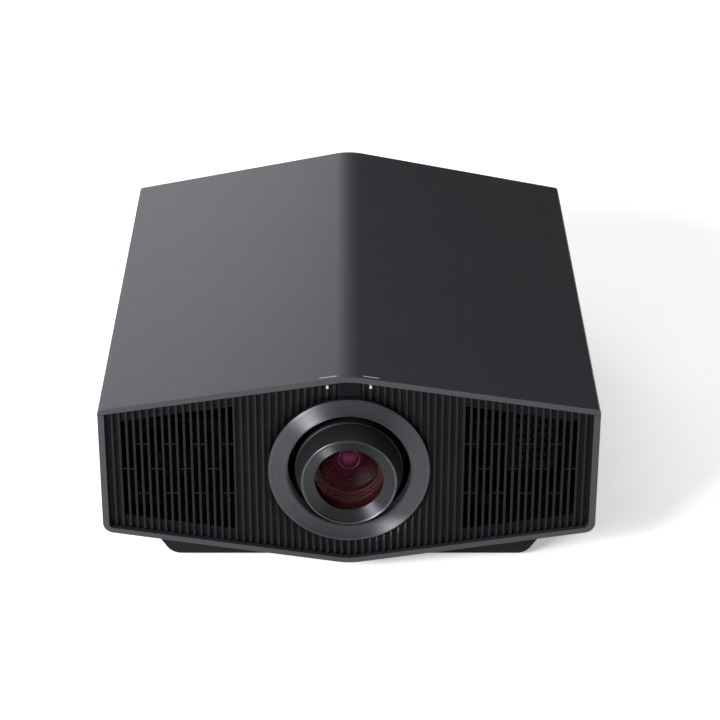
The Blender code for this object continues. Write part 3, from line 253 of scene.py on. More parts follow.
def makeFinish(name, look):
    material, add, paint = newMaterial(name)
    n = noiseSet
    place = add("TexCoord", out="Object")
    if "brushed" in look:
        place = add("Mapping", {"Vector": place, "Scale": (1.0, look["brushed"], look["brushed"])})

    def noise(scale, detail):
        return add("TexNoise", {"Vector": place, "Scale": scale, "Detail": detail})

    def within(value, low, high, **ends):
        ends = {key.replace("_", " "): end for key, end in ends.items()}
        return add("MapRange", {"Value": value, "From Min": low, "From Max": high, **ends})

    def product(one, other):
        return add("Math", {0: one, 1: other}, operation="MULTIPLY")

    cloudy = noise(n["cloud"], 4.0)
    grain = noise(1.0 / (look["grain"] * mm), 2.0)
    colour = add("Mix", {"Factor": within(product(cloudy, grain), *n["spread"]),
                         6: (*look["colour"], 1), 7: (*look["drift"], 1)}, 2, data_type="RGBA")
    if "wear" in look:
        worn = within(add("NewGeometry", out="Pointiness"), *n["edge"], To_Max=n["mostWorn"])
        colour = add("Mix", {"Factor": product(worn, noise(n["rub"], 3.0)), 6: colour,
                             7: (*look["wear"], 1)}, 2, data_type="RGBA")
    least, most = look["rough"]
    sheen = within(noise(n["sheen"], 5.0), 0.3, 0.7, To_Min=least, To_Max=most)
    bump = add("Bump", {"Strength": n["bump"], "Distance": look["deep"] * mm, "Height": grain})
    paint({"Base Color": colour, "Roughness": sheen, "Normal": bump, "Metallic": look.get("metal", 0.0),
           "Specular IOR Level": look.get("spec", 0.5)})
    # a painted glow, on finishes that have one
    if "glow" in look:
        paint({"Emission Color": (0.9, 0.95, 1.0, 1), "Emission Strength": look["glow"]})
    return material


finishes = {name: makeFinish(name, look) for name, look in finishSet.items()}

turnedMetalSet = {
    # turned finishes, whose fine grooves run round the lens: gloss spreads across them
    "spunMetal": dict(colour=(0.074, 0.075, 0.081), rough=(0.50, 0.54), stretch=1.0, groove=0.25, deep=0.001),
    "baffleMetal": dict(colour=(0.050, 0.051, 0.054), rough=(0.48, 0.54), stretch=1.0, groove=0.30, deep=0.002),
    "edgeMetal": dict(colour=(0.052, 0.053, 0.057), rough=(0.30, 0.36), stretch=0.50, groove=0.30, deep=0.002),
}
turnedNoiseSet = {"smudge": 35.0, "brighter": 1.5, "bump": 0.35}


def makeTurnedMetal(name, look):
    material, add, paint = newMaterial(name)
    n = turnedNoiseSet
    place = add("TexCoord", out="Object")
    centred = add("Mapping", {"Vector": place, "Location": (0, 0, -lensZ * mm)})
    flat = add("VectorMath", {0: centred, 1: (1, 0, 1)}, operation="MULTIPLY")
    radius = add("VectorMath", {0: flat}, "Value", operation="LENGTH")
    grooves = add("TexNoise", {"W": radius, "Scale": 1.0 / (look["groove"] * mm), "Detail": 3.0},
                  noise_dimensions="1D")
    smudge = add("TexNoise", {"Vector": place, "Scale": n["smudge"]})
    bright = (*(part * n["brighter"] for part in look["colour"]), 1)
    tone = add("Mix", {"Factor": grooves, 6: (*look["colour"], 1), 7: bright}, 2, data_type="RGBA")
    least, most = look["rough"]
    rough = add("MapRange", {"Value": smudge, "To Min": least, "To Max": most})
    bump = add("Bump", {"Strength": n["bump"], "Distance": look["deep"] * mm, "Height": grooves})
    tangent = add("Tangent", direction_type="UV_MAP", uv_map="turned")
    paint({"Base Color": tone, "Roughness": rough, "Normal": bump, "Tangent": tangent, "Metallic": 1.0,
           "Anisotropic": look["stretch"], "Anisotropic Rotation": 0.25})
    return material


glassSet = {
    # through: body colour; coat: its coating's reflection; passes: light let through; body: opacity
    # front glass: its own reflection is nearly off, and its dark red body colour is a painted reflection of the
    # coated glass
    "frontGlass": dict(through=(0.020, 0.004, 0.006), coat=(0.02, 0.005, 0.006), ior=1.5, passes=0.0, body=0.3,
                       rough=0.04),
    "deepGlass": dict(through=(0.30, 0.045, 0.150), coat=(1.0, 0.45, 0.80), ior=1.6, passes=0.0, body=1.0,
                      rough=0.42, metal=0.95),
    "prismGlass": dict(through=(0.90, 0.92, 0.95), coat=(0.7, 0.8, 1.0), ior=1.6, passes=0.9, body=1.0,
                       rough=0.03),
}


def makeGlass(name, look):
    material, add, paint = newMaterial(name)
    film = add("TexNoise", {"Vector": add("TexCoord", out="Object"), "Scale": 30.0, "Detail": 3.0})
    red, green, blue = look["through"]
    faded = (red * 0.9, green * 0.85, blue * 0.92, 1)
    tone = add("Mix", {"Factor": film, 6: (red, green, blue, 1), 7: faded}, 2, data_type="RGBA")
    rough = add("MapRange", {"Value": film, "To Min": look["rough"] * 0.8, "To Max": look["rough"]})
    paint({"Base Color": tone, "Roughness": rough, "Transmission Weight": look["passes"], "IOR": look["ior"],
           "Alpha": look["body"], "Metallic": look.get("metal", 0.0), "Specular Tint": (*look["coat"], 1)})
    return material


finishes.update({name: makeTurnedMetal(name, look) for name, look in turnedMetalSet.items()})
finishes.update({name: makeGlass(name, look) for name, look in glassSet.items()})
print("finishes made:", len(finishes))


# mesh helpers, all in millimetres until makePiece

def makePiece(name, bm, finish, smooth=30):
    bmesh.ops.remove_doubles(bm, verts=bm.verts, dist=1e-4)
    bmesh.ops.recalc_face_normals(bm, faces=bm.faces)
    for vertex in bm.verts:
        vertex.co *= mm
    mesh = bpy.data.meshes.new(name)
    bm.to_mesh(mesh)
    bm.free()
    mesh.materials.append(finishes[finish])
    mesh.shade_smooth()
    mesh.set_sharp_from_angle(angle=math.radians(smooth))
    piece = bpy.data.objects.new(name, mesh)
    scene.collection.objects.link(piece)
    return piece


def settle(piece):
    # the evaluated shape becomes the piece's own plain mesh
    bpy.context.view_layer.update()
    evaluated = piece.evaluated_get(bpy.context.evaluated_depsgraph_get())
    mesh = bpy.data.meshes.new_from_object(evaluated)
    mesh.name = piece.name
    piece.modifiers.clear()
    piece.data = mesh
    return piece


def soften(piece, width, segments=3, angle=35):
    change = piece.modifiers.new("softEdges", "BEVEL")
    change.width = width * mm
    change.segments = segments
    change.limit_method = "ANGLE"
    change.angle_limit = math.radians(angle)
    change.harden_normals = True
    return settle(piece)


def cut(piece, bm, operation="DIFFERENCE"):
    tool = makePiece("tool", bm, "platePlastic")
    change = piece.modifiers.new("cut", "BOOLEAN")
    change.operation = operation
    change.solver = "EXACT"
    change.object = tool
    settle(piece)
    bpy.data.objects.remove(tool)
    return piece


def keep(piece, body, slot, *nodes):
    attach(piece, body)
    if nodes:
        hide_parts(*nodes)
    return piece


def addBox(bm, low, high):
    corners = [bm.verts.new((x, y, z)) for x in (low[0], high[0]) for y in (low[1], high[1])
               for z in (low[2], high[2])]
    for face in ((0, 1, 3, 2), (4, 6, 7, 5), (0, 4, 5, 1), (2, 3, 7, 6), (0, 2, 6, 4), (1, 5, 7, 3)):
        bm.faces.new([corners[i] for i in face])


def boxMesh(*pairs):
    bm = bmesh.new()
    for low, high in pairs:
        addBox(bm, low, high)
    return bm


def placed(u, v, along, axis):
    return {"X": (along, u, v), "Y": (u, along, v), "Z": (u, v, along)}[axis]


def addLoft(bm, rings, caps=True):
    made = [[bm.verts.new(point) for point in ring] for ring in rings]
    count = len(made[0])
    for lower, upper in zip(made, made[1:]):
        for i in range(count):
            j = (i + 1) % count
            bm.faces.new((lower[i], lower[j], upper[j], upper[i]))
    if caps:
        bm.faces.new(made[0])
        bm.faces.new(made[-1])
    return made


def addPrism(bm, outline, axis, low, high):
    addLoft(bm, [[placed(u, v, along, axis) for u, v in outline] for along in (low, high)])


def prism(outline, axis, low, high):
    bm = bmesh.new()
    addPrism(bm, outline, axis, low, high)
    return bm


def circle(radius, middle=(0.0, 0.0), steps=48):
    turns = [2 * math.pi * i / steps for i in range(steps)]
    return [(middle[0] + radius * math.cos(a), middle[1] + radius * math.sin(a)) for a in turns]


def addTurned(bm, profile, middle, axis, steps):
    # profile points are (radius, along); its texture runs round the turn, then along the profile
    layer = bm.loops.layers.uv.get("turned") or bm.loops.layers.uv.new("turned")
    rings = []
    for radius, along, *_ in profile:
        if radius < 1e-6:
            rings.append([bm.verts.new(placed(*middle, along, axis))])
        else:
            rings.append([bm.verts.new(placed(u, v, along, axis)) for u, v in circle(radius, middle, steps)])
    hollow = profile[0][0] > 0
    pairs = list(zip(range(len(rings)), range(1, len(rings))))
    if hollow:
        pairs.append((len(rings) - 1, 0))
    for a, b in pairs:
        one, other = rings[a], rings[b]
        for i in range(steps):
            j = (i + 1) % steps
            if len(one) == 1:
                spots = [(one[0], i + 0.5, a), (other[i], i, b), (other[j], i + 1, b)]
            elif len(other) == 1:
                spots = [(one[i], i, a), (one[j], i + 1, a), (other[0], i + 0.5, b)]
            else:
                spots = [(one[i], i, a), (one[j], i + 1, a), (other[j], i + 1, b), (other[i], i, b)]
            face = bm.faces.new([spot[0] for spot in spots])
            for loop, spot in zip(face.loops, spots):
                loop[layer].uv = (spot[1] / steps, spot[2] / len(rings))


def turned(profile, middle, axis, steps=96):
    bm = bmesh.new()
    addTurned(bm, profile, middle, axis, steps)
    return bm


def fillet(before, corner, after, radius, steps):
    corner = Vector(corner)
    one = (Vector(before) - corner).normalized()
    other = (Vector(after) - corner).normalized()
    half = one.angle(other) / 2
    middle = corner + (one + other).normalized() * radius / math.sin(half)
    start = corner + one * radius / math.tan(half) - middle
    end = corner + other * radius / math.tan(half) - middle
    first = math.atan2(start.y, start.x)
    sweep = math.atan2(end.y, end.x) - first
    sweep = (sweep + math.pi) % (2 * math.pi) - math.pi
    turns = [first + sweep * i / steps for i in range(steps + 1)]
    return [(middle.x + radius * math.cos(a), middle.y + radius * math.sin(a)) for a in turns]


def roundPath(points, radius, steps=4, closed=True):
    # every corner rounded; a corner's radius can be its third value
    made = []
    for i, point in enumerate(points):
        size = point[2] if len(point) > 2 else radius
        if size <= 0 or (not closed and i in (0, len(points) - 1)):
            made.append(tuple(point[:2]))
            continue
        before, after = points[i - 1], points[(i + 1) % len(points)]
        made += fillet(before[:2], point[:2], after[:2], size, steps)
    return made


def roundedBox(middle, width, height, radius, steps=5):
    u, v = middle
    w, h = width / 2, height / 2
    return roundPath([(u - w, v - h), (u + w, v - h), (u + w, v + h), (u - w, v + h)], radius, steps)


def sideOutline(low, high, grown, radius, steps=5):
    # a box's outline seen from the side, made larger all round by half of grown
    return roundedBox(((low.y + high.y) / 2, (low.z + high.z) / 2), high.y - low.y + grown,
                      high.z - low.z + grown, radius, steps)


# geometry node helpers

def newTree(name, **inputs):
    tree = bpy.data.node_groups.new(name, "GeometryNodeTree")
    tree.interface.new_socket("Geometry", in_out="INPUT", socket_type="NodeSocketGeometry")
    for label, kind in inputs.items():
        tree.interface.new_socket(label, in_out="INPUT", socket_type="NodeSocket" + kind)
    tree.interface.new_socket("Geometry", in_out="OUTPUT", socket_type="NodeSocketGeometry")
    start = tree.nodes.new("NodeGroupInput")
    end = tree.nodes.new("NodeGroupOutput")
    return tree, start.outputs, end.inputs["Geometry"]


def addNode(tree, kind, settings=None, **links):
    node = tree.nodes.new("GeometryNode" + kind)
    for key, value in (settings or {}).items():
        setattr(node, key, value)
    for label, value in links.items():
        socket = node.inputs[label.replace("_", " ")]
        if isinstance(value, bpy.types.NodeSocket):
            tree.links.new(value, socket)
        else:
            socket.default_value = value
    return node


def finishTree(tree, start, end, shape):
    whole = addNode(tree, "RealizeInstances", Geometry=shape)
    painted = addNode(tree, "SetMaterial", Geometry=whole.outputs[0], Material=start["Finish"])
    tree.links.new(painted.outputs[0], end)


def grow(name, bm, tree, finish, smooth=30, **values):
    # bm holds the guide points or lines that the tree builds on
    for vertex in bm.verts:
        vertex.co *= mm
    mesh = bpy.data.meshes.new(name)
    bm.to_mesh(mesh)
    bm.free()
    piece = bpy.data.objects.new(name, mesh)
    scene.collection.objects.link(piece)
    change = piece.modifiers.new(tree.name, "NODES")
    change.node_group = tree
    values["Finish"] = finishes[finish]
    for item in tree.interface.items_tree:
        if item.in_out == "INPUT" and item.name in values:
            value = values[item.name]
            change[item.identifier] = value if isinstance(value, (int, bpy.types.Material)) else (
                tuple(value) if isinstance(value, (tuple, list)) else float(value))
    settle(piece)
    piece.data.shade_smooth()
    piece.data.set_sharp_from_angle(angle=math.radians(smooth))
    return piece


def pointMesh(points):
    bm = bmesh.new()
    for point in points:
        bm.verts.new(point)
    return bm


def makeSweepTree():
    # a rounded bar swept along each guide line
    tree, start, end = newTree("sweptBar", Width="Float", Depth="Float", Edge="Float", Bend="Float",
                               Finish="Material")
    lines = addNode(tree, "MeshToCurve", Mesh=start["Geometry"])
    bent = addNode(tree, "FilletCurve", {"mode": "POLY"}, Curve=lines.outputs[0], Radius=start["Bend"],
                   Count=4)
    shape = addNode(tree, "CurvePrimitiveQuadrilateral", Width=start["Width"], Height=start["Depth"])
    eased = addNode(tree, "FilletCurve", {"mode": "POLY"}, Curve=shape.outputs[0], Radius=start["Edge"],
                    Count=3)
    swept = addNode(tree, "CurveToMesh", Curve=bent.outputs[0], Profile_Curve=eased.outputs[0])
    swept.inputs["Fill Caps"].default_value = True
    finishTree(tree, start, end, swept.outputs[0])
    return tree


def scatter(tree, start, end, shape):
    spots = addNode(tree, "MeshToPoints", Mesh=start["Geometry"])
    laid = addNode(tree, "InstanceOnPoints", Points=spots.outputs[0], Instance=shape.outputs[0],
                   Rotation=start["Turn"])
    finishTree(tree, start, end, laid.outputs[0])
    return tree


def makeBlockTree():
    # a small block set on each guide point
    tree, start, end = newTree("setBlocks", Size="Vector", Turn="Rotation", Finish="Material")
    return scatter(tree, start, end, addNode(tree, "MeshCube", Size=start["Size"]))


# shares of a screw head's radius
screwSet = {"crown": 0.7, "slotLength": 1.3, "slotWidth": 0.26}


def makeScrewTree():
    # a domed screw head with a cross recess on each guide point
    tree, start, end = newTree("setScrews", Radius="Float", Height="Float", Turn="Rotation",
                               Finish="Material")

    def share(label):
        node = tree.nodes.new("ShaderNodeMath")
        node.operation = "MULTIPLY"
        node.inputs[1].default_value = screwSet[label]
        tree.links.new(start["Radius"], node.inputs[0])
        return node.outputs[0]

    def vector(**parts):
        node = tree.nodes.new("ShaderNodeCombineXYZ")
        for axis, value in parts.items():
            tree.links.new(value, node.inputs[axis])
        return node.outputs[0]

    crown = addNode(tree, "MeshCone", {"fill_type": "NGON"}, Vertices=24, Radius_Bottom=start["Radius"],
                    Radius_Top=share("crown"), Depth=start["Height"])
    size = vector(X=share("slotLength"), Y=share("slotWidth"), Z=start["Height"])
    slot = addNode(tree, "MeshCube", Size=size)
    one = addNode(tree, "Transform", Geometry=slot.outputs[0], Translation=vector(Z=start["Height"]))
    other = addNode(tree, "Transform", Geometry=one.outputs[0], Rotation=(0, 0, math.pi / 2))
    recessed = addNode(tree, "MeshBoolean", {"operation": "DIFFERENCE"})
    for shape, place in ((crown, 0), (one, 1), (other, 1)):
        tree.links.new(shape.outputs[0], recessed.inputs[place])
    return scatter(tree, start, end, recessed)


def makePerforatedTree():
    # a sheet, drawn flat, with a round hole at each guide point, then stood up
    tree, start, end = newTree("perforatedSheet", Width="Float", Height="Float", Hole="Float",
                               Thickness="Float", Place="Vector", Finish="Material")
    edge = addNode(tree, "CurvePrimitiveQuadrilateral", Width=start["Width"], Height=start["Height"])
    hole = addNode(tree, "CurvePrimitiveCircle", Resolution=14, Radius=start["Hole"])
    spots = addNode(tree, "MeshToPoints", Mesh=start["Geometry"])
    holes = addNode(tree, "InstanceOnPoints", Points=spots.outputs[0], Instance=hole.outputs[0])
    real = addNode(tree, "RealizeInstances", Geometry=holes.outputs[0])
    lines = addNode(tree, "JoinGeometry")
    tree.links.new(edge.outputs[0], lines.inputs[0])
    tree.links.new(real.outputs[0], lines.inputs[0])
    sheet = addNode(tree, "FillCurve", Curve=lines.outputs[0])
    up = tree.nodes.new("ShaderNodeCombineXYZ")
    up.inputs["Z"].default_value = 1.0
    thick = addNode(tree, "ExtrudeMesh", Mesh=sheet.outputs[0], Offset=up.outputs[0],
                    Offset_Scale=start["Thickness"], Individual=False)
    under = addNode(tree, "FlipFaces", Mesh=sheet.outputs[0])
    both = addNode(tree, "JoinGeometry")
    tree.links.new(thick.outputs[0], both.inputs[0])
    tree.links.new(under.outputs[0], both.inputs[0])
    whole = addNode(tree, "MergeByDistance", Geometry=both.outputs[0], Distance=1e-6)
    stood = addNode(tree, "Transform", Geometry=whole.outputs[0], Translation=start["Place"],
                    Rotation=(math.pi / 2, 0, 0))
    finishTree(tree, start, end, stood.outputs[0])
    return tree


sweptBar = makeSweepTree()
setBlocks = makeBlockTree()
setScrews = makeScrewTree()
perforatedSheet = makePerforatedTree()
print("node trees made")


# the cabinet

shellSet = {
    "ridge": 40.2,  # upper ridge above the line between the casings, before it is rounded
    "ridgeRise": 8.0,  # higher at the rear
    "corner": 5.2,  # upper side corner above that line
    "cornerFall": 1.2,
    "underRidge": -158.8,
    "underCorner": -123.8,
    "ridgeRadius": 76.0,
    "cornerRadius": 4.6,
    "underCornerRadius": 10.5,
    "wall": 2.6,
    "rimSide": 6.2,
    "rimFace": 5.5,
    "rimDepth": 14.0,
    "gap": 0.2,
    "edge": 0.8,
}


def faceShape(share, upper):
    s = shellSet
    if upper:
        return parting + s["ridge"] + s["ridgeRise"] * share, parting + s["corner"] - s["cornerFall"] * share
    return parting + s["underRidge"], parting + s["underCorner"]


def faceLine(sideInset, faceInset, share, upper, joint=parting, steps=10):
    # half of the cross-section, from the left joint over the ridge to the right one
    s = shellSet
    half = halfWidth - sideInset
    apex, corner = faceShape(share, upper)
    sign = 1 if upper else -1
    start = joint + sign * s["gap"]
    largest = s["cornerRadius"] if upper else s["underCornerRadius"]
    slope = abs(apex - corner) / halfWidth
    turn = math.atan(slope)
    apex -= sign * faceInset / math.cos(turn)
    corner = apex - sign * slope * half
    reach = math.tan((math.pi / 2 - turn) / 2)
    radius = max(min(largest - sideInset, abs(corner - start) * 0.8 / reach), 0.2)
    left, right = (-half, corner), (half, corner)
    line = [(-half, start)]
    line += fillet((-half, start), left, (0, apex), radius, steps)
    line += fillet(left, (0, apex), right, s["ridgeRadius"] - faceInset, steps * 2)
    line += fillet((0, apex), right, (half, start), radius, steps)
    return line + [(half, start)]


def wholeOutline(sideInset, faceInset, share=0.0, steps=6):
    upper = faceLine(sideInset, faceInset, share, True, lensZ, steps)
    lower = faceLine(sideInset, faceInset, share, False, lensZ, steps)
    return upper[1:-1] + lower[-2:0:-1]


def faceHeight(x, inset, share=0.0, upper=True):
    apex, corner = faceShape(share, upper)
    slope = abs(apex - corner) / halfWidth
    turn = math.atan(slope)
    sign = 1 if upper else -1
    apex -= sign * inset / math.cos(turn)
    ridge = shellSet["ridgeRadius"] - inset
    if abs(x) < ridge * math.sin(turn):
        return apex - sign * (ridge / math.cos(turn) - math.sqrt(ridge**2 - x**2))
    return apex - sign * slope * abs(x)


def shellMesh(upper):
    s = shellSet
    reach = depth - s["rimDepth"]
    steps = 6 if upper else 1
    back = [frontY + s["rimDepth"] + reach * i / steps for i in range(1, steps)]
    stations = [(frontY, 0, 0), (frontY + s["rimDepth"], 0, 0)] + [(y, 0, 0) for y in back]
    stations += [(rearY, 0, 0), (rearY, s["wall"], s["wall"])]
    stations += [(y, s["wall"], s["wall"]) for y in back[::-1]]
    stations += [(frontY + s["rimDepth"], s["wall"], s["wall"])]
    stations += [(frontY + s["rimDepth"], s["rimSide"], s["rimFace"]), (frontY, s["rimSide"], s["rimFace"])]
    bm = bmesh.new()
    rings = []
    for y, side, face in stations:
        line = faceLine(side, face, (y - frontY) / depth, upper)
        rings.append([bm.verts.new((x, y, z)) for x, z in line])
    for one, other in zip(rings, rings[1:] + rings[:1]):
        for i in range(len(one) - 1):
            bm.faces.new((one[i], one[i + 1], other[i + 1], other[i]))
    bm.faces.new([ring[0] for ring in rings])
    bm.faces.new([ring[-1] for ring in rings])
    return bm


padLow, padHigh = boxOf("keypad_frame")
plateLow, plateHigh = boxOf("connector_plate")
openingSet = {"baySetIn": 6.0, "bayCorner": 4.0, "padSetOut": 0.3, "padCorner": 3.0}


def makeCasings():
    upper = makePiece("upperCasing", shellMesh(True), "casingPaint")
    soften(upper, shellSet["edge"])
    keep(upper, "cabinet", "casing", "top_cover")
    lower = makePiece("lowerCasing", shellMesh(False), "casingPaint")
    o = openingSet
    for outline in (sideOutline(plateLow, plateHigh, -2 * o["baySetIn"], o["bayCorner"]),
                    sideOutline(padLow, padHigh, 2 * o["padSetOut"], o["padCorner"])):
        cut(lower, prism(outline, "X", halfWidth - 8, halfWidth + 3))
    soften(lower, shellSet["edge"] * 0.8)
    keep(lower, "cabinet", "casing", "bottom_casing")


makeCasings()
print("casings made")


# printed dashes behind the front edge of the upper casing

dashSet = {"places": ((-19.0, 8.0), (20.0, 7.0)), "behind": 4.2, "width": 0.9, "lift": 0.03, "thick": 0.03}


def makeDashes():
    bm = bmesh.new()
    for middle, half in dashSet["places"]:
        rings = []
        for i in range(9):
            x = middle - half + half * i / 4
            y = frontY + dashSet["behind"]
            z = faceHeight(x, 0, dashSet["behind"] / depth)
            low, high = z + dashSet["lift"] - dashSet["thick"] * 2, z + dashSet["lift"]
            wide = dashSet["width"] / 2
            rings.append([(x, y - wide, low), (x, y + wide, low), (x, y + wide, high), (x, y - wide, high)])
        addLoft(bm, rings)
    keep(makePiece("printedDashes", bm, "printInk"), "cabinet", "light_pipe")


makeDashes()


# front grille: backing plate, ribs and ties

grilleSet = {
    "ribs": 33,  # on each side of the middle one
    "ribWidth": 2.4,
    "ribSetBack": 3.2,
    "ribEdge": 0.55,
    "ribBend": 1.6,
    "plateSetBack": 6.8,
    "plateThickness": 2.2,
    "windowFrom": 16,
    "windowTo": 32,
    "windowMargin": 12.6,
    "windowCorner": 2.0,
    "tieHeight": 1.0,
    "tieStep": 26.0,
    "pipeRib": 3,
    "receiverRibs": 1,  # either side of the middle, missing above the lens
}
ribPitch = (halfWidth - shellSet["rimSide"]) / (grilleSet["ribs"] + 1)
plateFront = frontY + grilleSet["plateSetBack"]
plateBack = plateFront + grilleSet["plateThickness"]
ribFront = frontY + grilleSet["ribSetBack"]


def makePlate():
    g = grilleSet
    gap = 0.3
    outline = wholeOutline(shellSet["rimSide"] + gap, shellSet["rimFace"] + gap)
    plate = prism(outline, "Y", plateFront, plateBack)
    plate = makePiece("grillePlate", plate, "platePlastic")
    inset = shellSet["rimFace"] + g["windowMargin"]
    windows = bmesh.new()
    for side in (-1, 1):
        inner, outer = side * g["windowFrom"] * ribPitch, side * g["windowTo"] * ribPitch
        corners = [(x, faceHeight(x, inset, upper=upper)) for x, upper in (
            (inner, False), (outer, False), (outer, True), (inner, True))]
        addPrism(windows, roundPath(corners, g["windowCorner"]), "Y", plateFront - 2, plateBack + 2)
    cut(plate, windows)
    cut(plate, prism(circle(ringBore + 3.6, (0, lensZ), 96), "Y", plateFront - 2, plateBack + 2))
    soften(plate, 0.3, 2)
    return plate


def ribEnds(x):
    reach = abs(x) + grilleSet["ribWidth"] / 2
    inset = shellSet["rimFace"] + 0.6
    return faceHeight(reach, inset, upper=False), faceHeight(reach, inset)


def makeRibs():
    g = grilleSet
    thick = plateFront - ribFront + 0.5
    middle = ribFront + thick / 2
    guides = bmesh.new()
    for number in range(-g["ribs"], g["ribs"] + 1):
        x = number * ribPitch
        low, high = ribEnds(x)
        if abs(number) <= g["receiverRibs"]:
            high = lensZ
        elif abs(number) == g["pipeRib"]:
            high = boxOf("light_pipe_left")[0].z - 0.5
        bend = 0.85 + 0.207 * thick
        line = [(x, middle + 1.4, low + bend - 1.4), (x, middle, low + bend),
                (x, middle, high - bend), (x, middle + 1.4, high - bend + 1.4)]
        spots = [guides.verts.new(point) for point in line]
        for one, other in zip(spots, spots[1:]):
            guides.edges.new((one, other))
    ribs = grow("grilleRibs", guides, sweptBar, "ribPlastic", 40, Width=g["ribWidth"] * mm, Depth=thick * mm,
                Edge=g["ribEdge"] * mm, Bend=g["ribBend"] * mm)
    cut(ribs, prism(circle(ringRadius + 0.35, (0, lensZ), 96), "Y", frontY - 5, plateBack + 5))
    return ribs


def makeTies():
    g = grilleSet
    spots = []
    for side in (-1, 1):
        for number in range(g["windowFrom"] + 1, g["windowTo"] - 1, 4):
            for lift in (-g["tieStep"], g["tieStep"]):
                spots += [(side * (number + shift) * ribPitch, lensZ + lift) for shift in (-0.5, 0.5)]
            spots += [(side * (number + 2 + shift) * ribPitch, lensZ) for shift in (-0.5, 0.5)]
    near, far = ribFront + 1.0, plateFront + 1.1
    points = [(x, (near + far) / 2, z) for x, z in spots]
    size = ((ribPitch - g["ribWidth"] + 0.6) * mm, (far - near) * mm, g["tieHeight"] * mm)
    return grow("grilleTies", pointMesh(points), setBlocks, "platePlastic", Size=size)


keep(makePlate(), "cabinet", "grille", "front_grille")
keep(makeRibs(), "cabinet", "grille")
keep(makeTies(), "cabinet", "grille")


pipeTrim = 1.6


def makeSmallFrontPieces():
    for node, piece, finish, slot, edge in (
        ("light_pipe_left", "lightPipeLeft", "lightPipe", "light_pipe", 0.5),
        ("light_pipe_right", "lightPipeRight", "lightPipe", "light_pipe", 0.5),
        ("remote_receiver", "receiverWindow", "receiverWindow", "dark_plastic", 0.6),
    ):
        low, high = boxOf(node)
        if finish == "lightPipe":  # the tip, which has a painted glow, shows below the rim
            low.z += pipeTrim
        made = soften(makePiece(piece, boxMesh((low, high)), finish), edge, 4)
        keep(made, "cabinet", slot, node)


makeSmallFrontPieces()

screenSet = {"hole": 2.1, "pitch": 5.6, "margin": 3.2}


def makeVentScreen():
    low, high = boxOf("vent_screen")
    width, height = high.x - low.x, high.z - low.z
    pitch, row = screenSet["pitch"], screenSet["pitch"] * math.sqrt(3) / 2
    points = []
    rows = int((height / 2 - screenSet["margin"]) / row)
    for j in range(-rows, rows + 1):
        shift = pitch / 2 if j % 2 else 0.0
        columns = int((width / 2 - screenSet["margin"] - shift) / pitch)
        first = -columns - (1 if shift else 0)
        points += [(i * pitch + shift, j * row, 0) for i in range(first, columns + 1)]
    place = ((low.x + high.x) / 2 * mm, high.y * mm, (low.z + high.z) / 2 * mm)
    # the screen's near-black finish includes painted shade
    made = grow("ventScreen", pointMesh(points), perforatedSheet, "screenPaintShaded", Width=width * mm,
                Height=height * mm, Hole=screenSet["hole"] * mm, Thickness=(high.y - low.y) * mm, Place=place)
    keep(made, "cabinet", "screen_metal", "vent_screen")


makeVentScreen()
print("grille made")


# trim ring and lens

ringSet = {"dish": 0.7, "collarWall": 3.0, "edge": 2.2, "slope": 5.0, "gap": 0.2}


def makeTrimRing():
    face, back = ringLow.y, ringHigh.y
    r = ringSet
    collar, seat, dish = ringBore + r["collarWall"], plateFront - r["gap"], face + r["dish"]
    corners = [
        (ringBore, face + 0.5, 1.2), (ringBore + r["edge"], face, 0.7), (ringBore + r["slope"], dish, 1.6),
        (ringRadius - r["slope"], dish, 2.0), (ringRadius - r["edge"], face + 0.1, 1.0),
        (ringRadius, face + 1.0, 0.5), (ringRadius, seat, 0), (collar, seat, 0),
        (collar, back, 0.3), (ringBore, back, 0.3),
    ]
    profile = roundPath(corners, 0.3, 4)
    made = makePiece("trimRing", turned(profile, (0, lensZ), "Y", 144), "spunMetal")
    made.data.materials.append(finishes["ribPlastic"])
    for polygon in made.data.polygons:  # the outer wall, behind the turned face, is painted dark
        radius = math.hypot(polygon.center.x, polygon.center.z - lensZ * mm) / mm
        if radius > ringRadius - 0.6 and polygon.center.y > (face + 1.1) * mm:
            polygon.material_index = 1
    keep(made, "cabinet", "trim_metal", "lens_trim_ring")


barrelSet = {
    "tip": 44.0, "body": 50.0, "lip": 31.8, "baffle": 4.3, "baffleRings": 10, "baffleCut": 0.42,
    "glass": 34.5, "flange": 56.0,
    "step": (21.3, 22.0, 23.6, 24.2), "stepDepth": 1.4,  # the groove behind the conical front, from the tip
    "seats": 14, "seatDepth": 1.2, "flangeDepth": 8,
}


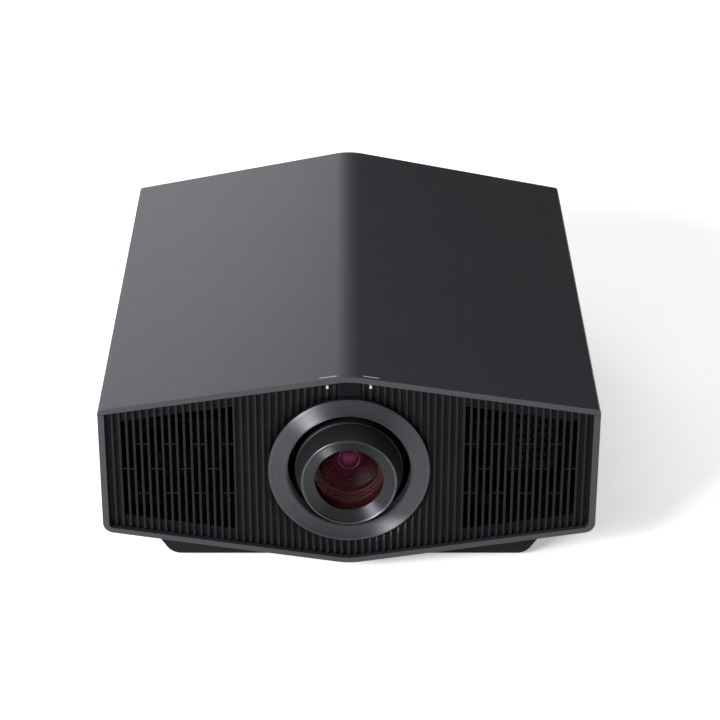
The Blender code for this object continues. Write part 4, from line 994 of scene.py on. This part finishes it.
def makeBarrel():
    b = barrelSet
    end = barrelHigh.y
    cone, near, far, rest = (tipY + along for along in b["step"])
    outside = [
        (b["tip"] - 1.0, tipY, 0.3), (b["tip"], tipY + 0.4, 0.5), (b["body"] - 0.4, cone, 0.6),
        (b["body"] - b["stepDepth"], near, 0.2), (b["body"] - b["stepDepth"], far, 0.2),
        (b["body"], rest, 0.3), (b["body"], end - b["flangeDepth"], 0.3),
        (b["flange"], end - b["flangeDepth"], 0.4),
        (b["flange"], end, 0.4), (b["glass"], end, 0.3),
    ]
    cell = []
    seats, wide = b["seats"], b["glass"] + b["seatDepth"]
    inner = tipY + b["baffle"] + 13
    for i in range(seats):  # blackened steps inside the bore, behind the front glass; their red tint is a painted reflection of the coated glass
        y = end - 6 - (end - 6 - inner) * i / seats
        cell += [(b["glass"], y, 0), (wide, y - 3, 0), (wide, y - 5, 0), (b["glass"], y - 5, 0)]
    mouth = [(b["glass"], tipY + b["baffle"] + 3.6, 0), (b["lip"], tipY + b["baffle"] + 2.0, 0.2),
             (b["lip"], tipY + b["baffle"], 0.2)]
    rings = []
    high = b["tip"] - 2.4
    for i in range(b["baffleRings"]):  # fine steps that keep stray light off the glass
        near, far = (i / b["baffleRings"], (i + 1) / b["baffleRings"])
        r0, r1 = b["lip"] + (high - b["lip"]) * near, b["lip"] + (high - b["lip"]) * far
        y0 = tipY + b["baffle"] - (b["baffle"] - 1.3) * near
        y1 = tipY + b["baffle"] - (b["baffle"] - 1.3) * far
        rings += [(r0 + (r1 - r0) * 0.3, y0 - b["baffleCut"] * 0.2, 0),
                  (r0 + (r1 - r0) * 0.62, y0 + (y1 - y0) * 0.5 + b["baffleCut"], 0),
                  (r1, y1, 0)]
    shell = roundPath(outside + cell + mouth, 0.0, 4, closed=False)
    made = bmesh.new()
    addTurned(made, shell + rings + [(b["tip"] - 1.9, tipY + 0.5)], (0, lensZ), "Y", 144)
    barrel = makePiece("lensBarrel", made, "barrelPaint", 24)
    barrel.data.materials.append(finishes["baffleMetal"])
    barrel.data.materials.append(finishes["cellBlackPaintedRed"])
    barrel.data.materials.append(finishes["edgeMetal"])
    for face in barrel.data.polygons:
        radius = math.hypot(face.center.x, face.center.z - lensZ * mm) / mm
        y = face.center.y / mm
        if radius < b["tip"] - 2.0 and y < tipY + b["baffle"] + 1.0 and radius > b["lip"] - 0.1:
            face.material_index = 1
        elif radius < b["body"] - 8 and y > tipY + b["baffle"] + 0.9:
            face.material_index = 2
        elif y < tipY + 0.75:
            face.material_index = 3
    keep(barrel, "lens", "barrel_finish", "lens_barrel")


def lensMesh(radius, front, bulgeFront, back, bulgeBack, steps=20):
    # one element: bulge is how far each face stands out in its middle, below zero for a hollow one
    def face(y, bulge, sign):
        sphere = (radius**2 + bulge**2) / (2 * abs(bulge))
        way = math.copysign(1, bulge)
        for i in range(steps + 1):
            r = radius * i / steps
            drop = abs(bulge) - (sphere - math.sqrt(sphere**2 - r**2))
            yield r, y - sign * way * drop
    ahead = list(face(front, bulgeFront, 1))
    behind = list(face(back, bulgeBack, -1))
    return turned(ahead + behind[::-1], (0, lensZ), "Y", 96)


# the deep element: its radius, how round its face is, and the thin ring on it, whose bright pinkish colour is a
# painted reflected arc
innerSet = {"radius": 19.0, "ball": 21.5, "stop": 10.0, "wire": 0.5}


def makeGlassPieces():
    low, high = boxOf("front_glass")
    radius = high.x
    made = makePiece("frontGlass", lensMesh(radius, low.y + 5.0, 4.9, high.y - 0.1, -3.0), "frontGlass", 60)
    keep(made, "front_glass_cell", "lens_glass", "front_glass")
    low, high = boxOf("zoom_group")
    g = innerSet
    apex = g["ball"] - math.sqrt(g["ball"]**2 - g["radius"]**2)
    made = makePiece("zoomGlass", lensMesh(g["radius"], low.y + apex, apex, high.y - 4, 3.0), "deepGlass", 60)
    keep(made, "zoom_cell", "lens_glass", "zoom_group")
    cell = [(g["radius"] - 0.3, low.y + apex - 1.0, 0.4), (radius - 4, low.y + 2.0, 0.6), (radius, low.y + 2.6, 0.5),
            (radius, high.y, 0.5), (g["radius"] - 0.3, high.y, 0.3)]
    # the cell's red tint is a painted reflection
    mount = makePiece("zoomCell", turned(roundPath(cell, 0.3), (0, lensZ), "Y", 96), "cellBlackPaintedRed")
    keep(mount, "zoom_cell", "barrel_finish")
    # the thin bright ring on the deep element is a painted reflected arc
    drop = g["ball"] - math.sqrt(g["ball"]**2 - g["stop"]**2)
    wire = circle(g["wire"], (g["stop"], low.y + drop - 0.1), 12)
    stop = makePiece("paintedArcRing", turned(wire, (0, lensZ), "Y", 72), "paintedArcReflection")
    keep(stop, "zoom_cell", "barrel_finish")


ringsInLens = {
    # seat rings between the glasses: inner radius, place behind the barrel's tip, width; their orange-brown colour
    # is a painted reflection of arcs in the coated glass
    "seatRings": ((30.6, 21.6, 1.4), (29.2, 26.0, 1.6), (27.8, 30.4, 1.6)),
}


def makeSeatRings():
    bm = bmesh.new()
    outer = barrelSet["glass"] + 0.1
    for radius, behind, width in ringsInLens["seatRings"]:
        y = tipY + behind
        corners = [(radius, y, 0.3), (radius + 1.6, y - 0.5, 0.3), (outer, y - 0.5, 0), (outer, y + width, 0),
                   (radius, y + width, 0.3)]
        addTurned(bm, roundPath(corners, 0.3, 3), (0, lensZ), "Y", 96)
    # the rings' orange-brown finish is a painted reflection
    keep(makePiece("seatRings", bm, "paintedReflectionArcs"), "lens", "barrel_finish")


makeTrimRing()
makeBarrel()
makeGlassPieces()
makeSeatRings()


def makeShroud():
    low, high = boxOf("lens_shroud")
    inner = high.x - 8.0
    corners = [(inner, low.y, 0.4), (high.x, low.y, 0.4), (high.x, low.y + 2, 0.4), (inner + 2, low.y + 2, 0.8),
               (inner + 2, high.y, 0.4), (inner, high.y, 0.4)]
    made = makePiece("lensShroud", turned(roundPath(corners, 0.4), (0, lensZ), "Y", 96), "moulding")
    keep(made, "cabinet", "dark_plastic", "lens_shroud")


makeShroud()
print("lens made")


# base pan and feet

baseLow, baseHigh = boxOf("base_pan")
baseSet = {"floor": 4.0, "half": 169.0, "lean": 35.0, "toe": 16.0, "lift": 0.5, "edge": 2.2,
           "boss": 9.0, "insert": 2.1, "insertDepth": 12.0}


def baseOutline():
    b = baseSet
    lean = math.tan(math.radians(b["lean"]))
    apex, corner = faceShape(0, False)
    slope = (corner - apex) / halfWidth
    outer = (b["half"] + lean * (apex - b["lift"] - b["floor"])) / (1 - lean * slope)

    def under(x):
        return faceHeight(x, -b["lift"], upper=False)

    toe = fillet((0, b["floor"]), (b["half"], b["floor"]), (outer, under(outer)), b["toe"], 12)
    bend = [outer] + [11.0 - 11.0 * i / 6 for i in range(7)]
    top = [(x, under(x)) for x in bend]
    top += [(-x, z) for x, z in top[::-1][1:]]
    return toe + top + [(-x, z) for x, z in toe[::-1]]


bracketNodes = [(m["pos_m"][0] / mm, m["pos_m"][1] / mm) for m in frame["record"]["mounts"]
                if m["name"].startswith("bracket")]


def makeBase():
    b = baseSet
    shell = makePiece("basePan", prism(baseOutline(), "Y", baseLow.y, baseHigh.y), "basePaint")
    soften(shell, b["edge"], 4, 50)
    bores = bmesh.new()
    for node in ("front_foot_pad_left", "front_foot_pad_right"):
        spot = middleOf(node)
        addPrism(bores, circle(4.6, (spot.x, spot.y), 32), "Z", b["floor"] - 1, b["floor"] + 34)
    places = [(math.copysign(abs(x) - 5.5 if x > 0 else abs(x) + 5.5, x), y) for x, y in bracketNodes]
    for x, y in places:
        addPrism(bores, circle(b["insert"], (x, y), 24), "Z", b["floor"] - 2, b["floor"] + b["insertDepth"])
    bosses = bmesh.new()
    for x, y in places:
        addTurned(bosses, [(0, b["floor"] + 1), (b["boss"], b["floor"] + 1), (b["boss"], baseLow.z + 0.3),
                           (b["boss"] - 0.3, baseLow.z), (0, baseLow.z)], (x, y), "Z", 40)
    cut(shell, bosses, "UNION")
    cut(shell, bores)
    keep(shell, "cabinet", "casing", "base_pan")
    sleeves = bmesh.new()
    for x, y in places:
        hole, outer = b["insert"], b["insert"] + 1.4
        low = baseLow.z
        addTurned(sleeves, [(hole, low + 0.1), (outer, low + 0.05), (outer, low), (hole, low)],
                  (x, y), "Z", 32)
    keep(makePiece("bracketInserts", sleeves, "contactGold"), "cabinet", "bright_steel")
    points = []
    for x in (-150, 150):
        points += [(x, y, b["floor"]) for y in (baseLow.y + 90, 0, baseHigh.y - 90)]
    screws = grow("baseScrews", pointMesh(points), setScrews, "turnedSteel", Radius=3.2 * mm, Height=1.0 * mm,
                  Turn=(math.pi, 0, 0))
    keep(screws, "cabinet", "bright_steel")


footSet = {"knurls": 36, "knurlDepth": 0.45, "shank": 4.0, "threadDepth": 0.7,
           "threadPitch": 1.25, "threadFrom": 4.8, "threadSteps": 24}


def starRing(radius, bite, middle, z, count):
    ring = []
    for i in range(count * 4):
        turn = 2 * math.pi * i / (count * 4)
        r = radius - (bite if i % 4 in (0, 3) else 0)
        ring.append((middle.x + r * math.cos(turn), middle.y + r * math.sin(turn), z))
    return ring


def makeFrontFoot(side):
    f = footSet
    low, high = boxOf(f"front_foot_pad_{side}")
    middle = (low + high) / 2
    radius = high.x - middle.x
    bm = bmesh.new()
    rings = [(radius - 1.2, 0.0, low.z), (radius - 0.4, 0.3, low.z + 0.3), (radius, f["knurlDepth"], low.z + 0.9),
             (radius, f["knurlDepth"], high.z - 0.7), (radius - 0.7, 0.2, high.z), (7.4, 0.0, high.z),
             (7.4, 0.0, low.z + 1.6)]
    addLoft(bm, [starRing(r, bite, middle, z, f["knurls"]) for r, bite, z in rings])
    pad = makePiece(f"footPad{side.title()}", bm, "footRubber", 25)
    keep(pad, f"{side}_foot", "rubber", f"front_foot_pad_{side}")
    low, high = boxOf(f"front_foot_screw_{side}")
    middle = (low + high) / 2
    core, pitch, steps, thread = f["shank"] - f["threadDepth"], f["threadPitch"], f["threadSteps"], []
    bm = turned([(0, low.z), (6.6, low.z), (7.0, low.z + 0.4), (7.0, 3.6), (core, 3.7), (core, high.z - 0.6),
                 (f["shank"] - 1.2, high.z), (0, high.z)], (middle.x, middle.y), "Z", 40)
    turns = int((high.z - 1.0 - 5.0) / pitch)
    for i in range(turns * steps + 1):
        turn = 2 * math.pi * i / steps
        z = f["threadFrom"] + pitch * i / steps
        edge = min(1.0, i / steps, (turns * steps - i) / steps)
        root = core - 0.05
        crest = f["shank"] - f["threadDepth"] * (1 - max(edge, 0.02))
        ring = []
        for r, rise in ((root, -0.55), (crest, -0.08), (crest, 0.08), (root, 0.55)):
            ring.append((middle.x + r * math.cos(turn), middle.y - r * math.sin(turn), z + rise))
        thread.append(ring)
    addLoft(bm, thread)
    stem = makePiece(f"footScrew{side.title()}", bm, "turnedSteel")
    keep(stem, f"{side}_foot_screw", "bright_steel", f"front_foot_screw_{side}")


def makeRearFoot(side):
    low, high = boxOf(f"rear_foot_{side}")
    middle = (low + high) / 2
    radius = high.x - middle.x
    profile = [(0, low.z + 0.5), (radius - 5, low.z + 0.5), (radius - 4.4, low.z), (radius - 1.4, low.z),
               (radius - 0.4, low.z + 0.4), (radius, low.z + 1.3), (radius, high.z - 0.4), (radius - 0.4, high.z),
               (0, high.z)]
    bm = turned(profile, (middle.x, middle.y), "Z", 64)
    foot = makePiece(f"rearFoot{side.title()}", bm, "footRubber", 40)
    keep(foot, "cabinet", "rubber", f"rear_foot_{side}")


makeBase()
for side in ("left", "right"):
    makeFrontFoot(side)
    makeRearFoot(side)
print("base and feet made")


# rear panel with its slots, and the guard bars behind them

rearLow, rearHigh = boxOf("rear_panel")
rearSet = {"slots": 22, "slotWidth": 3.0, "slotPitch": 8.0, "margin": 16.0, "inset": 2.9, "slotEnd": 1.4}


def makeRearPanel():
    r = rearSet
    share = (rearLow.y - frontY) / depth
    panel = prism(wholeOutline(r["inset"], r["inset"] + 0.1, share), "Y", rearLow.y, rearHigh.y)
    panel = makePiece("rearPanel", panel, "casingPaint")
    slots, bars = bmesh.new(), []
    inset = r["margin"] + shellSet["wall"]
    for side in (-1, 1):
        for i in range(r["slots"]):
            x = side * (halfWidth - inset - i * r["slotPitch"])
            low, high = faceHeight(x, inset, upper=False), faceHeight(x, inset, share)
            half = r["slotWidth"] / 2
            outline = roundPath([(x - half, low), (x + half, low), (x + half, high), (x - half, high)],
                                r["slotEnd"], 4)
            addPrism(slots, outline, "Y", rearLow.y - 2, rearHigh.y + 2)
    cut(panel, slots)
    soften(panel, 0.45, 2)
    keep(panel, "cabinet", "casing", "rear_panel")
    reach = halfWidth - inset + r["slotPitch"] / 2
    inner = halfWidth - inset - (r["slots"] - 0.5) * r["slotPitch"]
    for side in (-1, 1):
        for lift in (-36, -12, 12, 36):
            bars.append((side * (reach + inner) / 2, rearLow.y - 0.75, lensZ + 2 + lift))
    guard = grow("rearGuardBars", pointMesh(bars), setBlocks, "moulding",
                 Size=((reach - inner) * mm, 1.1 * mm, 1.6 * mm))
    keep(guard, "cabinet", "dark_plastic")
    spots = [(x, rearHigh.y - 0.1, z) for x in (-16, 16) for z in (lensZ + 62, lensZ - 62)]
    spots += [(side * (halfWidth - 9.5), rearHigh.y - 0.1, z) for side in (-1, 1) for z in (60, 166)]
    screws = grow("rearScrews", pointMesh(spots), setScrews, "turnedSteel", Radius=2.9 * mm, Height=1.0 * mm,
                  Turn=(-math.pi / 2, 0, 0))
    keep(screws, "cabinet", "bright_steel")


makeRearPanel()
print("rear panel made")


# side bay: plate, sockets and keys

socketSet = {
    "hdmi": dict(width=14.0, tall=5.4, slant=2.2, tongue=(8.6, 1.2), deep=11.0),
    "lan": dict(width=11.8, tall=8.6, contacts=8, pitch=1.02, deep=12.5),
    "usb": dict(width=12.6, tall=5.4, tongue=(10.6, 2.0), deep=11.5),
    "inlet": dict(width=24.6, tall=17.0, chamfer=5.0, deep=15.0, blades=((-7.0, -1.5), (0.0, 3.0), (7.0, -1.5))),
}


def socketShell(name, outline, wall, deep, back, finish):
    # a tube of the mouth's outline with a floor, its mouth edge rounded
    low, high = boxOf(name)
    mouth = high.x
    middle = ((low.y + high.y) / 2, (low.z + high.z) / 2)
    outer = [(middle[0] + u * (1 + wall[0]), middle[1] + v * (1 + wall[1])) for u, v in outline]
    inner = [(middle[0] + u, middle[1] + v) for u, v in outline]
    bm = bmesh.new()
    rings = []
    for x, shape, mix in ((back, outer, 0), (mouth - 0.3, outer, 0), (mouth, outer, 0.35), (mouth, inner, -0.25),
                          (mouth - 0.4, inner, 0), (mouth - deep, inner, 0)):
        other = inner if shape is outer else outer
        rings.append([(x, a[0] + (b[0] - a[0]) * abs(mix), a[1] + (b[1] - a[1]) * abs(mix))
                      for a, b in zip(shape, other)])
    addLoft(bm, rings)
    return makePiece(name.replace("_", "") + "Shell", bm, finish, 40), middle, mouth


def hdmiOutline(s):
    w, h, c = s["width"] / 2, s["tall"] / 2, s["slant"]
    return roundPath([(-w, h), (-w, -h + c), (-w + c, -h), (w - c, -h), (w, -h + c), (w, h)], 0.5, 3)


def makeSockets():
    for node in ("hdmi_socket_1", "hdmi_socket_2"):
        s = socketSet["hdmi"]
        low, high = boxOf(node)
        shell, (y, z), mouth = socketShell(node, hdmiOutline(s), (0.12, 0.3), s["deep"], low.x, "socketPlating")
        keep(shell, "cabinet", "socket_shell", node)
        wide, thick = s["tongue"]
        tongue = boxMesh(((mouth - s["deep"] + 0.2, y - wide / 2, z - thick / 2 + 0.3),
                          (mouth - 2.0, y + wide / 2, z + thick / 2 + 0.3)))
        piece = soften(makePiece(node.replace("_", "") + "Tongue", tongue, "moulding"), 0.25, 2)
        keep(piece, "cabinet", "dark_plastic")
        spots = [(mouth - 5.6, y + (i - 4.5) * 0.8, z + 0.3) for i in range(10)]
        pins = grow(node.replace("_", "") + "Contacts", pointMesh(spots), setBlocks, "contactGold",
                    Size=(6.0 * mm, 0.4 * mm, (thick + 0.1) * mm))
        keep(pins, "cabinet", "bright_steel")
    s = socketSet["lan"]
    low, high = boxOf("lan_socket")
    w, h = s["width"] / 2, s["tall"] / 2
    notch = [(-w, h, 0.4), (-w, -h + 1.8, 0.3), (-3.2, -h + 1.8, 0.3), (-3.2, -h, 0.3), (3.2, -h, 0.3),
             (3.2, -h + 1.8, 0.3), (w, -h + 1.8, 0.3), (w, h, 0.4)]
    shell, (y, z), mouth = socketShell("lan_socket", roundPath(notch, 0.3, 2), (0.16, 0.2), s["deep"], low.x,
                                       "socketPlating")
    keep(shell, "cabinet", "socket_shell", "lan_socket")
    spots = [(mouth - 6.0, y + (i - (s["contacts"] - 1) / 2) * s["pitch"], z + h - 1.0)
             for i in range(s["contacts"])]
    pins = grow("lanContacts", pointMesh(spots), setBlocks, "contactGold", Size=(8.0 * mm, 0.45 * mm, 0.4 * mm),
                Turn=(0, math.radians(10), 0))
    keep(pins, "cabinet", "bright_steel")
    s = socketSet["usb"]
    low, high = boxOf("usb_socket")
    w, h = s["width"] / 2, s["tall"] / 2
    outline = roundPath([(-w, h), (-w, -h), (w, -h), (w, h)], 0.4, 3)
    shell, (y, z), mouth = socketShell("usb_socket", outline, (0.13, 0.3), s["deep"], low.x, "socketPlating")
    keep(shell, "cabinet", "socket_shell", "usb_socket")
    wide, thick = s["tongue"]
    tongue = boxMesh(((mouth - s["deep"] + 0.2, y - wide / 2, z + 0.2),
                      (mouth - 1.2, y + wide / 2, z + 0.2 + thick)))
    keep(soften(makePiece("usbTongue", tongue, "moulding"), 0.3, 2), "cabinet", "dark_plastic")
    spots = [(mouth - 5.6, y + (i - 1.5) * 2.3, z + 0.16) for i in range(4)]
    pins = grow("usbContacts", pointMesh(spots), setBlocks, "contactGold", Size=(7.0 * mm, 1.2 * mm, 0.2 * mm))
    keep(pins, "cabinet", "bright_steel")
    s = socketSet["inlet"]
    low, high = boxOf("mains_inlet")
    w, h, c = s["width"] / 2, s["tall"] / 2, s["chamfer"]
    outline = roundPath([(-w, -h, 1.2), (w, -h, 1.2), (w, h - c, 0.8), (w - c, h, 0.8), (-w + c, h, 0.8),
                         (-w, h - c, 0.8)], 1, 3)
    shell, (y, z), mouth = socketShell("mains_inlet", outline, (0.15, 0.22), s["deep"], low.x, "moulding")
    keep(shell, "cabinet", "dark_plastic", "mains_inlet")
    blades = bmesh.new()
    for shift, lift in s["blades"]:
        tip, root = mouth - 3.0, mouth - s["deep"] - 0.2
        rings = [[(x, y + shift + u * size, z + lift + v * size) for u, v in ((-1, -2), (1, -2), (1, 2), (-1, 2))]
                 for x, size in ((root, 1.0), (tip - 1.2, 1.0), (tip, 0.55))]
        addLoft(blades, rings)
    keep(makePiece("inletBlades", blades, "turnedSteel"), "cabinet", "bright_steel")


def makeConnectorPlate():
    low, high = plateLow, plateHigh
    plate = makePiece("connectorPlate", boxMesh((low, high)), "moulding")
    seats = bmesh.new()
    for name in ("hdmi_socket_1", "hdmi_socket_2", "lan_socket", "usb_socket", "mains_inlet"):
        a, b = boxOf(name)
        addPrism(seats, sideOutline(a, b, 0.5, 0.8), "X", low.x - 1, high.x + 1)
    cut(plate, seats)
    soften(plate, 0.25, 2)
    keep(plate, "cabinet", "dark_plastic", "connector_plate")
    inner = bmesh.new()
    y0, y1, z0, z1 = low.y + 6.2, high.y - 6.2, low.z + 6.2, high.z - 6.2
    ring = roundedBox(((y0 + y1) / 2, (z0 + z1) / 2), y1 - y0, z1 - z0, 4.0)
    grown = roundedBox(((y0 + y1) / 2, (z0 + z1) / 2), y1 - y0 + 2.4, z1 - z0 + 2.4, 5.0)
    outer = halfWidth - shellSet["wall"] - 0.1
    addLoft(inner, [[(x, u, v) for u, v in shape] for x, shape in (
        (high.x + 0.1, grown), (outer, grown), (outer, ring),
        (high.x + 0.1, ring), (high.x + 0.1, grown))], caps=False)
    keep(makePiece("bayWalls", inner, "moulding"), "cabinet", "dark_plastic")
    spots = [(high.x, y, (low.z + high.z) / 2) for y in (low.y + 10.0, high.y - 10.0)]
    spots += [(high.x, (boxOf("usb_socket")[1].y + boxOf("mains_inlet")[0].y) / 2, (low.z + high.z) / 2)]
    screws = grow("plateScrews", pointMesh(spots), setScrews, "turnedSteel", Radius=2.4 * mm, Height=0.9 * mm,
                  Turn=(0, math.pi / 2, 0))
    keep(screws, "cabinet", "bright_steel")


keySet = {
    # corner radius and sign of each key
    "power": (5.3, "power"), "input": (1.3, "arrowIn"), "menu": (1.3, "lines"), "up": (1.3, "up"),
    "down": (1.3, "down"), "left": (1.3, "left"), "right": (1.3, "right"), "enter": (5.3, "dot"),
}
signSet = {"size": 2.0, "line": 0.45, "thick": 0.05}


def signOutlines(kind):
    s, t = signSet["size"], signSet["line"] / 2
    if kind in ("up", "down", "left", "right"):
        turn = {"up": 0, "left": 90, "down": 180, "right": 270}[kind]
        a = math.radians(turn)
        points = [(-s, -s * 0.6), (s, -s * 0.6), (0, s * 0.8)]
        return [[(u * math.cos(a) - v * math.sin(a), u * math.sin(a) + v * math.cos(a)) for u, v in points]]
    if kind == "lines":
        return [[(-s, v - t), (s, v - t), (s, v + t), (-s, v + t)] for v in (-1.2, 0.0, 1.2)]
    if kind == "arrowIn":
        return [[(-s, -t), (0.2, -t), (0.2, t), (-s, t)], [(0.2, -1.1), (1.4, 0), (0.2, 1.1)],
                [(s, -1.7), (s + 2 * t, -1.7), (s + 2 * t, 1.7), (s, 1.7)]]
    if kind == "dot":
        return [circle(1.1, steps=20)]
    arc = []
    steps = 20
    for r in (s + t, s - t):
        turns = [math.radians(120 + 300 * i / steps) for i in range(steps + 1)]
        ring = [(r * math.cos(a), r * math.sin(a)) for a in (turns if r > s else turns[::-1])]
        arc += ring
    return [arc, [(-t, 0.4), (t, 0.4), (t, s + 0.7), (-t, s + 0.7)]]


def makeKeys():
    low, high = padLow, padHigh
    frameOutline = sideOutline(low, high, 0.0, 2.7)
    pad = makePiece("keyFrame", prism(frameOutline, "X", low.x, high.x), "keyPlastic")
    holes = bmesh.new()
    for key, (corner, sign) in keySet.items():
        a, b = boxOf(f"{key}_key")
        flange = 1.2
        width, tall = b.y - a.y - flange, b.z - a.z - flange
        middle = ((a.y + b.y) / 2, (a.z + b.z) / 2)
        addPrism(holes, roundedBox(middle, width + 0.6, tall + 0.6, corner + 0.2), "X", low.x - 1, high.x + 1)
        bm = bmesh.new()
        rings = []
        for x, grown in ((a.x, flange), (low.x - 0.3, flange), (low.x - 0.3, 0), (b.x - 0.55, 0), (b.x - 0.2, -0.25),
                         (b.x - 0.05, -0.7), (b.x - 0.02, -1.6), (b.x - 0.1, -3.4)):
            ring = roundedBox(middle, width + grown, tall + grown, max(corner + grown / 2, 0.3), 6)
            rings.append([(x, u, v) for u, v in ring])
        addLoft(bm, rings)
        body = f"{key}_button"
        keep(makePiece(f"{key}Key", bm, "keyPlastic", 35), body, "key_plastic", f"{key}_key")
        marks = bmesh.new()
        for outline in signOutlines(sign):
            # seen from the right-hand side, +Y runs to the right
            addPrism(marks, [(middle[0] + u, middle[1] + v) for u, v in outline], "X", b.x - 0.12, b.x)
        keep(makePiece(f"{key}Sign", marks, "printInk"), body, "light_pipe")
    cut(pad, holes)
    soften(pad, 0.3, 2)
    keep(pad, "cabinet", "key_plastic", "keypad_frame")


makeSockets()
makeConnectorPlate()
makeKeys()
print("side bay and keys made")


# fans

fanSet = {"blades": 7, "hub": 17.0, "steps": 9, "thick": 0.9}


def makeRotor(side):
    f = fanSet
    low, high = boxOf(f"exhaust_fan_{side}_rotor")
    middle = (low + high) / 2
    reach = (high.z - low.z) / 2
    bm = turned([(0, low.y), (f["hub"] - 2.5, low.y), (f["hub"] - 0.8, low.y + 0.7), (f["hub"], low.y + 2.6),
                 (f["hub"], high.y), (0, high.y)], (middle.x, middle.z), "Y", 64)
    for i in range(f["blades"]):
        base = 2 * math.pi * i / f["blades"]
        rings = []
        for step in range(f["steps"]):
            share = step / (f["steps"] - 1)
            radius = f["hub"] - 1 + (reach - f["hub"] + 0.6) * share
            ring = []
            for along, lift in ((0.0, 0.0), (0.33, 1.0), (0.66, 0.9), (1.0, 0.0), (0.66, -0.1), (0.33, -0.3)):
                spread = 0.62 - 0.14 * share
                turn = base + 0.35 * share**1.5 + (along - 0.5) * spread
                y = low.y + 3 + (high.y - low.y - 5) * along
                shift = (lift + (0.5 if lift > 0.5 else 0.0)) * f["thick"] / radius
                turn += shift
                ring.append((middle.x + radius * math.cos(turn), y, middle.z + radius * math.sin(turn)))
            rings.append(ring)
        addLoft(bm, rings)
    # the rotor's near-black finish includes painted shade
    rotor = makePiece(f"{side}Rotor", bm, "fanPlasticShaded", 40)
    keep(rotor, f"{side}_fan", "dark_plastic", f"exhaust_fan_{side}_rotor")


for side in ("left", "right"):
    makeRotor(side)
print("fans made")


# finishes for the nodes that stay as the frame has them

nodeFinishes = {
    # fan frames: black plastic with painted shade
    "exhaust_fan_left_frame": "fanPlasticShaded", "exhaust_fan_right_frame": "fanPlasticShaded",
    "air_filter": "filterFoam", "main_chassis": "sheetSteel", "power_supply": "sheetSteel",
    "vertical_shift_motor": "sheetSteel", "horizontal_shift_motor": "sheetSteel", "wheel_motor": "sheetSteel",
    "vertical_lead_screw": "turnedSteel", "horizontal_lead_screw": "turnedSteel",
    "optical_block": "castMetal", "laser_module": "castMetal", "laser_heat_sink": "blackenedMetal",
    "focus_ring": "blackenedMetal", "zoom_ring": "blackenedMetal", "vertical_carriage": "blackenedMetal",
    "horizontal_carriage": "blackenedMetal", "combiner_prism": "prismGlass", "panel_red": "panelGlass",
    "panel_green": "panelGlass", "panel_blue": "panelGlass", "phosphor_wheel": "phosphorCoat",
    "main_board": "boardMask",
}
for name, finish in nodeFinishes.items():
    for slot in frame["nodes"][name].material_slots:
        slot.material = finishes[finish]
print("frame nodes finished:", len(nodeFinishes))
